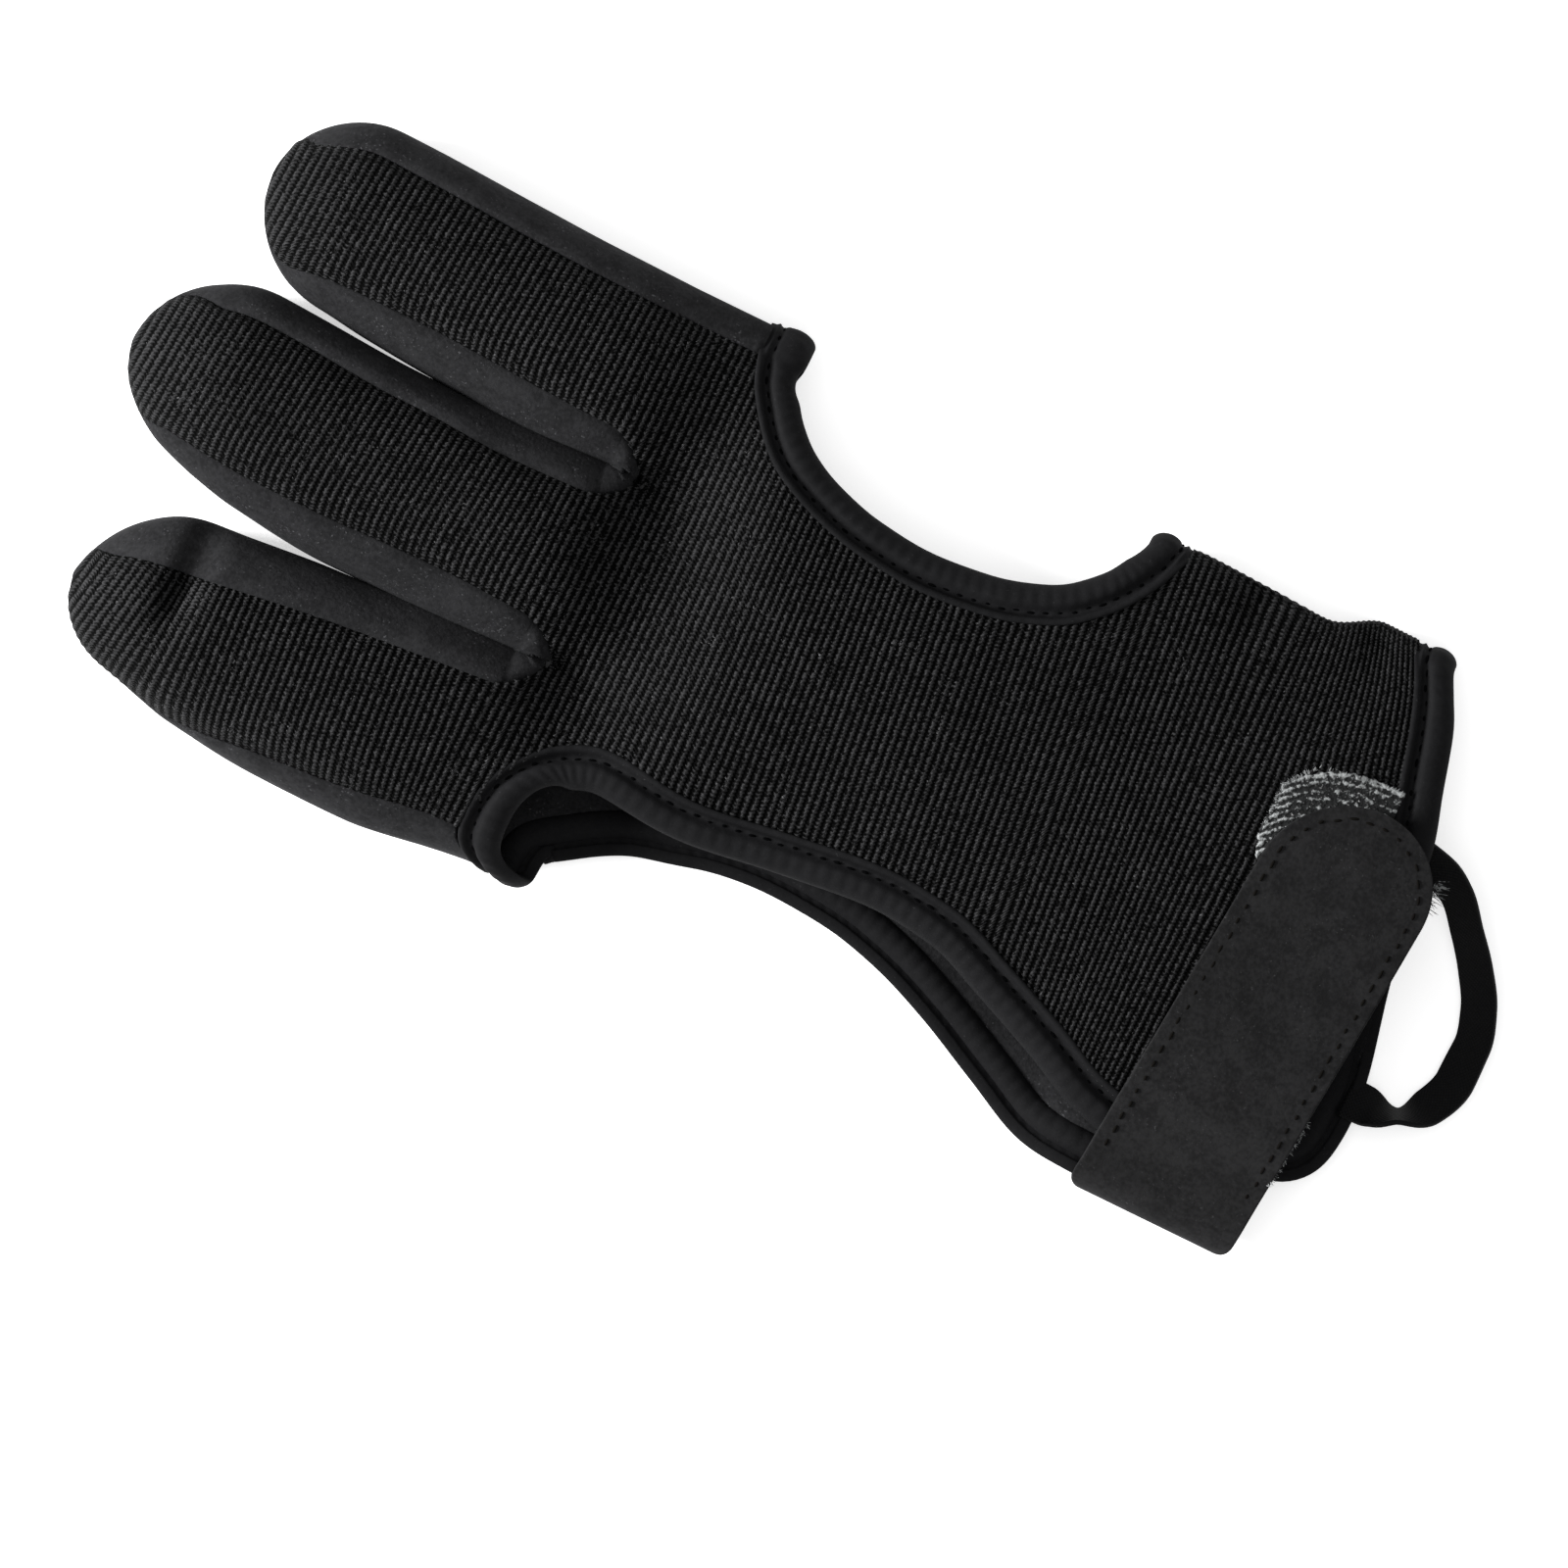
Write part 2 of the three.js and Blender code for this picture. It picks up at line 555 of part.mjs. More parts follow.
// The palm: finger undersides and the hand's underside in one piece
function palmThumbY(x) {
  if (x <= alongX(stations.thumbStart)) {
    const section = fingerSection(fingerA, x);
    return section.middle + section.half * palmSeam;
  }
  if (x < alongX(stations.thumbEnd)) return edgeY(backThumbEdge, x) - seamGap * 2;
  const hand = handSection(x);
  return hand.middle + hand.half * wrapEnd - 2 * seamGap;
}
function palmLittleY(x) {
  if (x > alongX(stations.mouthStart)) return edgeY(palmLittleEdge, x);
  const section = fingerSection(fingerC, x);
  return section.middle - section.half * palmSeam;
}
const palmStations = handStations.filter((share, n) => n === 0 || n % 2 === 1 || n >= palmSparseRows);
function palmGrid() {
  const rows = [];
  const gap = seamAngle;
  for (let i = 0; i < fingerRowCount; i += 1) {
    const [a, b, c] = fingers.map((finger) => fingerRow(finger, i, cells.palmFinger, (x) => [
      stripAngles(finger, x, "thumb")[1] - gap,
      stripAngles(finger, x, "little")[1] - 2 * Math.PI + gap,
    ], mergedUnder, -1));
    const between = (left, right) => Array.from({ length: cells.gap - 1 }, (_, k) => (
      left.clone().lerp(right, (k + 1) / cells.gap)));
    rows.push([...a, ...between(a.at(-1), b[0]), ...b, ...between(b.at(-1), c[0]), ...c]);
  }
  palmStations.map(alongX).forEach((x, n) => {
    const littleY = palmLittleY(x) + 2 * seamGap;
    const columns = handColumns(x, palmThumbY(x), littleY, cells.palmFinger, crotchHalfWidth);
    rows.push(columns.map((y, j) => {
      const midGap = n === 0 && [cells.palmFinger + 1, 2 * cells.palmFinger + cells.gap + 1].includes(j);
      const px = midGap ? alongX(stations.crotchEnd) : leanedX(x, y, palmHem);
      return vector(px, y, underHeight(px, y));
    }));
  });
  return rows;
}
function palmUsed(i, j) {
  const inGap = gapColumns(cells.palmFinger, 0).some((start) => j >= start && j < start + cells.gap);
  return !inGap || i >= fingerRowCount;
}
const seamAngle = 0.05; // clearance along a finger's seams, in radians round its section
const rootSeamAngle = 0.16; // the same past the fingers, where the cloth is folded more tightly

// One side strip of a finger from its tip to x, one row per station
function stripRows(finger, side, xs) {
  return xs.map((x) => {
    const [top, under] = stripAngles(finger, x, side);
    const apart = x > alongX(stations.lastFingerRow) ? rootSeamAngle : seamAngle;
    const step = side === "thumb" ? -apart : apart;
    const seam = mergedTop(finger, x, top);
    const raised = seam.z - fingerPoint(finger, x, top).z;
    return Array.from({ length: cells.strip + 1 }, (_, k) => {
      const angle = mix(top + step, under - step, k / cells.strip);
      const point = fingerPoint(finger, x, angle);
      point.z += raised * clamp(Math.sin(angle) / Math.max(Math.sin(top), gentlestSeam), 0, 1);
      if (k === 0) markSeam(point, finger, x, top);
      if (k === cells.strip) markSeam(point, finger, x, under);
      return point;
    });
  });
}
const stripStations = (finger) => stationsOf.get(finger).slice(3);

// Side strip on the outer side of a finger, run on past its root to the next opening
function outerStrip(finger, side, end) {
  const past = alongX(stations.lastFingerRow);
  const last = alongX(end) - seamGap;
  const xs = [...stripStations(finger), mix(past, last, 0.5), last];
  return sheetSolid(stripRows(finger, side, xs), clothThickness, { turned: side === "thumb" });
}

const crotchClearance = { below: 0.8, above: 1.4 }; // of a crotch's edges from the back and the palm
function clearOfSeam(k) {
  if (k === 0) return -crotchClearance.below;
  return k === cells.strip ? crotchClearance.above : 0;
}
// Where a crotch's rounded end lies: behind the back's notch, and how near its middle and its sides come
const crotchShape = { behind: 2.4 * seamGap, centred: 0.8, sideAlong: 0.66, sideAcross: 0.58 };
// Gusset between two fingers: the facing side strips and the rounded crotch that joins them
function gusset(upper, lower, crotch) {
  const down = stripRows(upper, "little", stripStations(upper));
  const up = stripRows(lower, "thumb", stripStations(lower)).reverse();
  const [from, to] = [down.at(-1), up[0]];
  const end = from.map((point, k) => {
    const place = point.clone().lerp(to[k], 0.5);
    place.x = alongX(stations.crotchEnd) - crotchShape.behind;
    place.y = mix(place.y, acrossY(crotch), crotchShape.centred);
    place.z = k === 0 ? topHeight(place.x, place.y) : place.z;
    place.z += clearOfSeam(k);
    return place;
  });
  const beside = (side) => side.map((point, k) => {
    const place = point.clone().lerp(end[k], crotchShape.sideAlong);
    place.x -= seamGap;
    place.y = mix(point.y, end[k].y, crotchShape.sideAcross);
    place.z += clearOfSeam(k);
    return place;
  });
  return sheetSolid([...down, beside(from), end, beside(to), ...up], clothThickness);
}

// Binding tape from its sewn edge outward: a row of points and the way each one's width runs
function tape(path, { ring = false, turned = false, width = tapeWidth } = {}) {
  const shares = [0, 0.5, 1];
  const grid = path.map(({ at, toward }) => shares.map((share) => (
    at.clone().addScaledVector(toward, tapeGap + share * width))));
  return sheetSolid(grid, tapeThickness, { lift: tapeProud, ring, turned });
}
// A tape's row on the back or the palm, its width following the surface
function tapeRow(x, y, heading, heightAt, slope) {
  const at = vector(x, y, heightAt(x, y));
  const reach = vector(Math.cos(heading), Math.sin(heading), 0);
  const far = heightAt(x + reach.x * tapeWidth, y + reach.y * tapeWidth);
  reach.z = clamp((far - at.z) / tapeWidth, -slope, slope);
  return { at, toward: reach.normalize() };
}
const maxDip = 0.75; // steepest slope of a tape's width
// Share of gloveWidth over which a tape's width turns straight along the glove before the tape folds
const foldTurn = { from: 0.83, to: 0.93 };
const foldBulge = 2; // how far a tape's turn stands out from the edge it turns round
const foldShares = [0.2, 0.5, 0.8];
// Rows of a tape turning round an edge, between its row on the back and its row on the palm
function foldRows(upper, lower, outward, toward) {
  return foldShares.map((share) => {
    const bulge = Math.sin(Math.PI * share) * foldBulge;
    return { at: upper.at.clone().lerp(lower.at, share).addScaledVector(outward, bulge), toward };
  });
}
const tapeUnderHeight = (x, y) => underHeight(x, y) + tapeProud;

const thumbHole = { along: 0.5595, across: 1.177 }; // middle of the thumb opening's curve
// Binding round the thumb opening: along the back's edge, down the fold, along the palm's edge and up again
function thumbBinding() {
  const centre = vector(alongX(thumbHole.along), acrossY(thumbHole.across), 0);
  const headingFrom = (x, y) => {
    const ahead = Math.atan2(centre.y - y, centre.x - x);
    return mix(ahead, x > centre.x ? Math.PI : 0, eased(y, acrossY(foldTurn.from), acrossY(foldTurn.to)));
  };
  const from = alongX(stations.thumbStart) + seamGap;
  const to = alongX(stations.thumbEnd) - seamGap * 2;
  const xs = Array.from({ length: tapeRows.thumb + 1 }, (_, k) => (
    mix(from, to, 0.5 - Math.cos((Math.PI * k) / tapeRows.thumb) / 2)));
  const over = xs.map((x) => {
    const y = edgeY(backThumbEdge, x);
    return tapeRow(x, y, headingFrom(x, y), topHeight, maxDip);
  });
  const under = [...xs].reverse().map((x) => {
    const y = palmThumbY(x);
    return tapeRow(x, y, headingFrom(x, y), tapeUnderHeight, maxDip);
  });
  const thumbward = vector(0, 1, 0);
  const fold = foldRows(over.at(-1), under[0], thumbward, vector(-1, 0, 0));
  const front = foldRows(over[0], under.at(-1), thumbward, vector(1, 0, 0)).reverse();
  return tape([...over, ...fold, ...under, ...front], { ring: true, turned: true });
}

const mouthTurn = 10; // length over which the side binding's width turns from along the glove to across
const mouthDensity = 1.7; // how much closer its rows lie near the finger
// Binding of the long side opening: along the back's edge, round the finger's root, along the palm's edge
function sideBinding() {
  const from = alongX(stations.mouthStart) + 3 * seamGap;
  const to = alongX(stations.bindingEnd);
  const spots = (edge, count) => Array.from({ length: count + 1 }, (_, k) => {
    const x = mix(from, to, (k / count) ** mouthDensity);
    return [x, edge(x)];
  });
  const rowsOf = (list, heightAt) => list.map(([x, y], k) => {
    const [ax, ay] = list[Math.max(k - 1, 0)];
    const [bx, by] = list[Math.min(k + 1, list.length - 1)];
    const heading = Math.atan2(-(bx - ax), by - ay);
    return tapeRow(x, y, heading * eased(x, from, from + mouthTurn), heightAt, maxDip);
  });
  const over = rowsOf(spots(backLittleY, tapeRows.sideBack), topHeight).reverse();
  const under = rowsOf(spots(palmLittleY, tapeRows.sidePalm), tapeUnderHeight);
  const round = stripRows(fingerC, "little", [from])[0].slice(0, -1);
  const mouth = round.map((at) => ({ at, toward: vector(1, 0, 0) }));
  return tape([...over, ...mouth, ...under], { turned: true });
}

const hemEnds = { thumb: 0.9668, back: 0.198, palm: 0.1925 }; // where the hem's binding turns and ends
// Binding of the wrist hem: along the back's hem, round the thumb side, along the palm's hem
function wristBinding() {
  const row = (hem, y, heightAt) => {
    const step = 1;
    const x = hemX(hem, y);
    const lean = (hemX(hem, y + step) - hemX(hem, y - step)) / (2 * step);
    const straight = eased(y, acrossY(foldTurn.from), acrossY(foldTurn.to));
    return tapeRow(x, y, Math.atan2(-lean, 1) * (1 - straight), heightAt, maxDip);
  };
  const ys = (from, to, count) => Array.from({ length: count + 1 }, (_, k) => mix(from, to, k / count));
  const sideX = hemX(backHem, acrossY(hemEnds.thumb));
  const overYs = ys(acrossY(hemEnds.back), edgeY(backThumbEdge, sideX), tapeRows.hemBack);
  const underYs = ys(palmThumbY(sideX) + seamGap, acrossY(hemEnds.palm), tapeRows.hemPalm);
  const over = overYs.map((y) => row(backHem, y, topHeight));
  const under = underYs.map((y) => row(palmHem, y, tapeUnderHeight));
  const fold = foldRows(over.at(-1), under[0], vector(0, 1, 0), vector(1, 0, 0));
  return tape([...over, ...fold, ...under]);
}

// Closure: sewn under the palm, folded round the little-finger side and laid over the back
const strapLine = { fold: 0, end: 0.7212, under: 0.2699, middle: 0.9005, lean: 0.079 };
const strapSewn = [strapLine.under, 0.1925, 0.115]; // its rows under the palm, as shares of gloveWidth
const strapSettle = { from: 0.0597, to: 0.2035, onBack: 0.1372 }; // where it comes down onto the back
const strapSide = { top: 0.62 * gloveHeight, radius: 5, level: 2.5 }; // its fold: height, reach, level run
const strapTip = 0.02; // squared width share left at its rounded end
function strapPlan(y, reach = 0) {
  const endY = acrossY(strapLine.end);
  const start = endY - strapWidth / 2;
  const closing = y <= start ? 1 : Math.sqrt(Math.max(1 - ((y - start) / (strapWidth / 2)) ** 2, strapTip));
  const middle = alongX(strapLine.middle) + (y - acrossY(strapLine.fold)) * strapLine.lean;
  return { middle, half: (strapWidth / 2) * closing - reach };
}
function overLay(x, y, stack) {
  const settle = eased(y, acrossY(strapSettle.from), acrossY(strapSettle.to));
  return mix(strapSide.top, topHeight(x, Math.max(y, acrossY(strapSettle.onBack))) + stack, settle);
}
const stackHeight = 3 * layGap + 2 * patchThickness + strapThickness;
function closureStrap() {
  const { across, fold: turns, over: overCount } = strapRows;
  const { top: height, radius, level } = strapSide;
  const fold = acrossY(strapLine.fold);
  const rows = [];
  const addRow = (y, zAt) => {
    const { middle, half } = strapPlan(y);
    rows.push(Array.from({ length: across + 1 }, (_, k) => {
      const x = middle + half * mix(-1, 1, k / across);
      return vector(x, y, zAt(x));
    }));
  };
  strapSewn.map(acrossY).forEach((y) => addRow(y, () => 0));
  for (let k = 0; k <= turns; k += 1) {
    const angle = mix(-Math.PI / 2, Math.PI / 2, k / turns);
    const y = fold + radius - Math.cos(angle) * radius;
    addRow(y, () => height / 2 + (Math.sin(angle) * height) / 2);
  }
  const endY = acrossY(strapLine.end);
  const overStart = fold + radius + level;
  for (let k = 0; k <= overCount; k += 1) {
    const y = mix(overStart, endY, Math.sin(((k / overCount) * Math.PI) / 2));
    addRow(Math.min(y, endY), (x) => overLay(x, y, stackHeight));
  }
  return sheetSolid(rows, strapThickness);
}

// Patch lying over the back: a grid between two rows of the glove with one rounded corner
function patch(from, to, edgesAt, lay) {
  const { along, across } = patchCells;
  const grid = Array.from({ length: along + 1 }, (_, i) => {
    const y = mix(acrossY(from), acrossY(to), i / along);
    const [left, right] = edgesAt(y);
    return Array.from({ length: across + 1 }, (_, k) => {
      const x = mix(left, right, k / across);
      return vector(x, y, lay(x, y));
    });
  });
  return sheetSolid(grid, patchThickness);
}
const loopEdges = { from: 0.3805, to: 0.7644, left: 0.854, right: 0.927, corner: 4.5 };
const hookEdges = { from: 0.2367, to: 0.5907, inset: 2.2, past: 2 }; // inset from the closure, and past it
function loopPatch() {
  const { from, to, left, right, corner } = loopEdges;
  return patch(from, to, (y) => {
    const over = clamp((y - (acrossY(to) - corner)) / corner, 0, 1);
    return [alongX(left) + corner * (1 - Math.sqrt(1 - over * over)), alongX(right)];
  }, (x, y) => topHeight(x, y) + layGap + patchThickness);
}
function hookPatch() {
  return patch(hookEdges.from, hookEdges.to, (y) => {
    const { middle, half } = strapPlan(y, hookEdges.inset);
    return [middle - half, middle + half + hookEdges.past];
  }, (x, y) => overLay(x, y, stackHeight - strapThickness - layGap));
}

// Pull loop: a flat ribbon from the hem and back to it. rise: middle's height as a share of gloveHeight;
// turn: degrees its width is turned up from lying flat
const ribbonRows = [
  { along: 0.98, across: 0.6748, rise: 0.42, turn: 66 },
  { along: 0.996, across: 0.6615, rise: 0.36, turn: 62 },
  { along: 1.013, across: 0.6173, rise: 0.26, turn: 50 },
  { along: 1.03, across: 0.5708, rise: 0.19, turn: 40 },
  { along: 1.045, across: 0.5155, rise: 0.12, turn: 20 },
  { along: 1.052, across: 0.458, rise: 0.08, turn: 8 },
  { along: 1.052, across: 0.4027, rise: 0.09, turn: 12 },
  { along: 1.043, across: 0.3473, rise: 0.15, turn: 35 },
  { along: 1.027, across: 0.3119, rise: 0.2, turn: 58 },
  { along: 1.012, across: 0.3064, rise: 0.2, turn: 50 },
  { along: 1.0025, across: 0.3064, rise: 0.19, turn: 25 },
];
function pullLoop() {
  const points = ribbonRows.map(({ along, across, rise }) => (
    vector(alongX(along), acrossY(across), gloveHeight * rise)));
  const curve = new THREE.CatmullRomCurve3(points, false, "centripetal");
  const grid = Array.from({ length: ribbonCells + 1 }, (_, k) => {
    const t = k / ribbonCells;
    const at = curve.getPoint(t);
    const tangent = curve.getTangent(t);
    const outward = vector(-tangent.y, tangent.x, 0).normalize();
    const n = Math.min(Math.floor(t * (ribbonRows.length - 1)), ribbonRows.length - 2);
    const turn = mix(ribbonRows[n].turn, ribbonRows[n + 1].turn, t * (ribbonRows.length - 1) - n);
    const radians = THREE.MathUtils.degToRad(turn);
    const width = outward.multiplyScalar(Math.cos(radians)).add(vector(0, 0, Math.sin(radians)));
    return [-0.5, 0, 0.5].map((share) => at.clone().addScaledVector(width, share * ribbonWidth));
  });
  return sheetSolid(grid, ribbonThickness, { lift: ribbonThickness / 2 });
}

const finishes = {
  knit: { color: 0x1b1b1d, roughness: 0.9 },
  suede: { color: 0x202022, roughness: 0.95 },
  tapeCloth: { color: 0x161618, roughness: 0.8 },
  flannel: { color: 0x1d1d1f, roughness: 0.95 },
  loopPile: { color: 0x57585a, roughness: 1 },
  ribbon: { color: 0x141416, roughness: 0.7 },
};
const glove = new THREE.Group();
glove.name = "archery_glove";
function addPiece(name, geometry, finish) {
  const material = new THREE.MeshStandardMaterial({ ...finishes[finish], metalness: 0 });
  const mesh = new THREE.Mesh(geometry, material);
  mesh.name = name;
  glove.add(mesh);
}
addPiece("ribbed_back", sheetSolid(backGrid(), clothThickness, { used: backUsed }), "knit");
addPiece("palm_panel", sheetSolid(palmGrid(), clothThickness, { used: palmUsed, turned: true }), "flannel");
addPiece("gusset_ab", gusset(fingerA, fingerB, crotchAcross[0]), "flannel");
addPiece("gusset_bc", gusset(fingerB, fingerC, crotchAcross[1]), "flannel");
addPiece("side_strip_a", outerStrip(fingerA, "thumb", stations.thumbStart), "flannel");
addPiece("side_strip_c", outerStrip(fingerC, "little", stations.mouthStart), "flannel");
addPiece("thumb_binding", thumbBinding(), "tapeCloth");
addPiece("side_binding", sideBinding(), "tapeCloth");
addPiece("wrist_binding", wristBinding(), "tapeCloth");
addPiece("closure_strap", closureStrap(), "suede");
addPiece("loop_patch", loopPatch(), "loopPile");
addPiece("hook_patch", hookPatch(), "tapeCloth");
addPiece("pull_loop", pullLoop(), "ribbon");

// The origin is the middle of the base
const bounds = new THREE.Box3().setFromObject(glove);
const centre = bounds.getCenter(new THREE.Vector3());
glove.children.forEach((mesh) => mesh.geometry.translate(-centre.x, -centre.y, -bounds.min.z));

export default glove;
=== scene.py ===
"""Three-finger archery glove lying palm down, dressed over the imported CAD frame. Shapes are in millimetres
and go to Blender in metres."""

from __future__ import annotations

import logging
import math
import random
from collections.abc import Callable, Sequence
from dataclasses import dataclass
from enum import Enum

import bmesh
import bpy
import numpy as np
from mathutils import Matrix, Vector


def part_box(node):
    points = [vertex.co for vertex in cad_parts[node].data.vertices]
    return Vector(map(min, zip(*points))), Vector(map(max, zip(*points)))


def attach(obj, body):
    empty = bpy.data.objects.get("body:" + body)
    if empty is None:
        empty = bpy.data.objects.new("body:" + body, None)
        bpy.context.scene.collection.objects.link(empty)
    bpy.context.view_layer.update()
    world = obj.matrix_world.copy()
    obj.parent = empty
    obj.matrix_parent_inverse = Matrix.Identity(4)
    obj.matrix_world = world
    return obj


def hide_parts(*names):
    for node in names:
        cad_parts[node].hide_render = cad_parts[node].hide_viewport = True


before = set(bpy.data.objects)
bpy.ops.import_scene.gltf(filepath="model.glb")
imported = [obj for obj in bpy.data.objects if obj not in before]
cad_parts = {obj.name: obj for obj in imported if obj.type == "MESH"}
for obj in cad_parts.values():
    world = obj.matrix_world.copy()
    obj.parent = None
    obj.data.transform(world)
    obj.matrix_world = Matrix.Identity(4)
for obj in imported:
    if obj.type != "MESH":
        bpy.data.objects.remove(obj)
logger = logging.getLogger("archery_glove")

MM = 0.001
GLOVE_LENGTH = 200.0
GLOVE_WIDTH = 90.4
LOOP_REACH = 13.4
GLOVE_HEIGHT = 17.5
FINGER_WIDTH = 27.0
CLOTH = 1.4
TAPE_WIDTH = 6.6
TAPE_THICKNESS = 1.8
TAPE_PROUD = 0.35
STRAP_WIDTH = 24.6
STRAP_THICKNESS = 1.4
PATCH_THICKNESS = 0.9
RIBBON_WIDTH = 6.0
RIBBON_THICKNESS = 0.7
LAY_GAP = 0.3
SEAM_GAP = 0.1
RIB_PITCH = 1.12
RIB_HEIGHT = 0.34
STITCH_PITCH = 2.1

PHOTO_TURN = math.radians(26.0)
PHOTO_WIDTH = 218.4
PHOTO_CENTRE = (10.9, -9.9)

CURVE_STEPS = 1600
NARROWEST = 0.01

Array = np.ndarray
HeightMap = Callable[[Array, Array], Array]
Piece = bpy.types.Object
Socket = bpy.types.NodeSocket


class Side(Enum):
    """Side of a finger that a strip runs along."""

    THUMB = "thumb"
    LITTLE = "little"


class Finish(Enum):
    """Finish that a piece is dressed in."""

    RIB_KNIT = "rib_knit"
    FLANNEL = "flannel"
    BINDING = "binding"
    SUEDE = "suede"
    LOOP_PILE = "loop_pile"
    HOOK_TAPE = "hook_tape"
    RIBBON = "ribbon"


@dataclass(frozen=True)
class Curve:
    """Smooth curve through a short table, read by linear steps of a dense monotone cubic.

    Args:
        keys: rising positions of the rows.
        values: the rows' values.
    """

    keys: tuple[float, ...]
    values: tuple[float, ...]

    def dense(self) -> tuple[Array, Array]:
        """Returns: positions and values of the curve, close enough to be read linearly."""
        x, y = np.array(self.keys), np.array(self.values)
        span = np.diff(x)
        slope = np.diff(y) / span
        tangent = np.zeros(len(x))
        tangent[0], tangent[-1] = slope[0], slope[-1]
        product = slope[:-1] * slope[1:]
        total = slope[:-1] + slope[1:]
        tangent[1:-1] = np.where(product > 0, 2 * product / np.where(total == 0, 1, total), 0)
        at = np.linspace(x[0], x[-1], CURVE_STEPS)
        n = np.clip(np.searchsorted(x, at, side="right") - 1, 0, len(x) - 2)
        t = (at - x[n]) / span[n]
        start = (1 + 2 * t) * (1 - t) ** 2 * y[n] + t * (1 - t) ** 2 * span[n] * tangent[n]
        end = t * t * (3 - 2 * t) * y[n + 1] + t * t * (t - 1) * span[n] * tangent[n + 1]
        return at, start + end

    def __call__(self, at: Array | float) -> Array:
        """Value at a position. Args: at: position or positions. Returns: value or values."""
        if not hasattr(self, "_table"):
            object.__setattr__(self, "_table", self.dense())
        return np.interp(at, *self._table)


def table(*rows: tuple[float, ...]) -> list[Curve]:
    """Curves of a table whose first column is the key. Args: rows: the rows. Returns: one curve a column."""
    columns = list(zip(*rows))
    return [Curve(columns[0], column) for column in columns[1:]]


def eased(value: Array | float, start: float, end: float) -> Array:
    """Smooth step. Args: value: where; start, end: the range. Returns: 0 before it, 1 after it."""
    t = np.clip((np.asarray(value) - start) / (end - start), 0, 1)
    return t * t * (3 - 2 * t)


def mix(a: Array | float, b: Array | float, t: Array | float) -> Array:
    """Linear mix. Args: a, b: ends; t: share of b. Returns: the mix."""
    return a + (b - a) * t


def arch(u: Array | float, power: float) -> Array:
    """Height over a superellipse's widest line. Args: u: share of the half width; power: squareness.
    Returns: share of the full height."""
    return (1 - np.minimum(np.abs(u), 1) ** power) ** (1 / power)


def section_point(x: Array, angle: Array, size: Sequence[Array], powers: tuple[float, float]) -> Array:
    """Outside of a flattened section.

    Args:
        x: places.
        angle: 0 at the thumb side, half a turn at the little side.
        size: middle, half width, widest line's height, rise over it and drop under it.
        powers: squareness over and under the widest line.

    Returns:
        Points, with a last axis of 3.
    """
    middle, half, mid, rise, drop = size
    over = np.sin(angle) >= 0
    power = np.where(over, *powers)
    sideways = np.sign(np.cos(angle)) * np.abs(np.cos(angle)) ** (2 / power)
    upward = np.abs(np.sin(angle)) ** (2 / power)
    z = mid + upward * np.where(over, rise, -drop)
    return np.stack(np.broadcast_arrays(x, middle + half * sideways, z), axis=-1)


@dataclass(frozen=True)
class Frame2D:
    """Places as shares of the glove's length and width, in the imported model's frame.

    Args:
        shift_x, shift_y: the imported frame's offset from the glove's own middle.
    """

    shift_x: float
    shift_y: float

    @classmethod
    def from_cad(cls) -> Frame2D:
        """Returns: the frame whose offset is read from two CAD nodes' boxes."""
        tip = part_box("ribbed_back")[0][0] / MM
        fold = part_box("closure_strap")[0][1] / MM
        return cls(tip + (GLOVE_LENGTH + LOOP_REACH) / 2, fold + GLOVE_WIDTH / 2)

    def x(self, share: Array | float) -> Array:
        """Args: share: share of the length from the longest fingertip. Returns: x."""
        return np.asarray(share) * GLOVE_LENGTH - (GLOVE_LENGTH + LOOP_REACH) / 2 + self.shift_x

    def y(self, share: Array | float) -> Array:
        """Args: share: share of the width from the closure's fold. Returns: y."""
        return (np.asarray(share) - 0.5) * GLOVE_WIDTH + self.shift_y

    def at_x(self, share: float) -> float:
        """Args: share: share of the length. Returns: x, as a plain number."""
        return float(self.x(share))

    def at_y(self, share: float) -> float:
        """Args: share: share of the width. Returns: y, as a plain number."""
        return float(self.y(share))

    def span_x(self, shares: Sequence[float]) -> list[float]:
        """Args: shares: shares of the length. Returns: their places."""
        return [self.at_x(share) for share in shares]

    def span_y(self, shares: Sequence[float]) -> list[float]:
        """Args: shares: shares of the width. Returns: their places."""
        return [self.at_y(share) for share in shares]

    def share_x(self, x: Array | float) -> Array:
        """Args: x: place. Returns: its share of the length."""
        return (np.asarray(x) - self.shift_x + (GLOVE_LENGTH + LOOP_REACH) / 2) / GLOVE_LENGTH

    def share_y(self, y: Array | float) -> Array:
        """Args: y: place. Returns: its share of the width."""
        return (np.asarray(y) - self.shift_y) / GLOVE_WIDTH + 0.5


@dataclass(frozen=True)
class Section:
    """Numbers of a finger's section at one or more places."""

    middle: Array
    half: Array
    mid: Array
    rise: Array
    drop: Array
    thumb_seam: Array
    little_seam: Array
    palm_seam: Array


TOP_POWER = 2.15
UNDER_POWER = 3.2
HAND_TOP_POWER = 1.9
HAND_UNDER_POWER = 5.0
MID_SHARE = 0.43
PALM_SEAM = 0.86


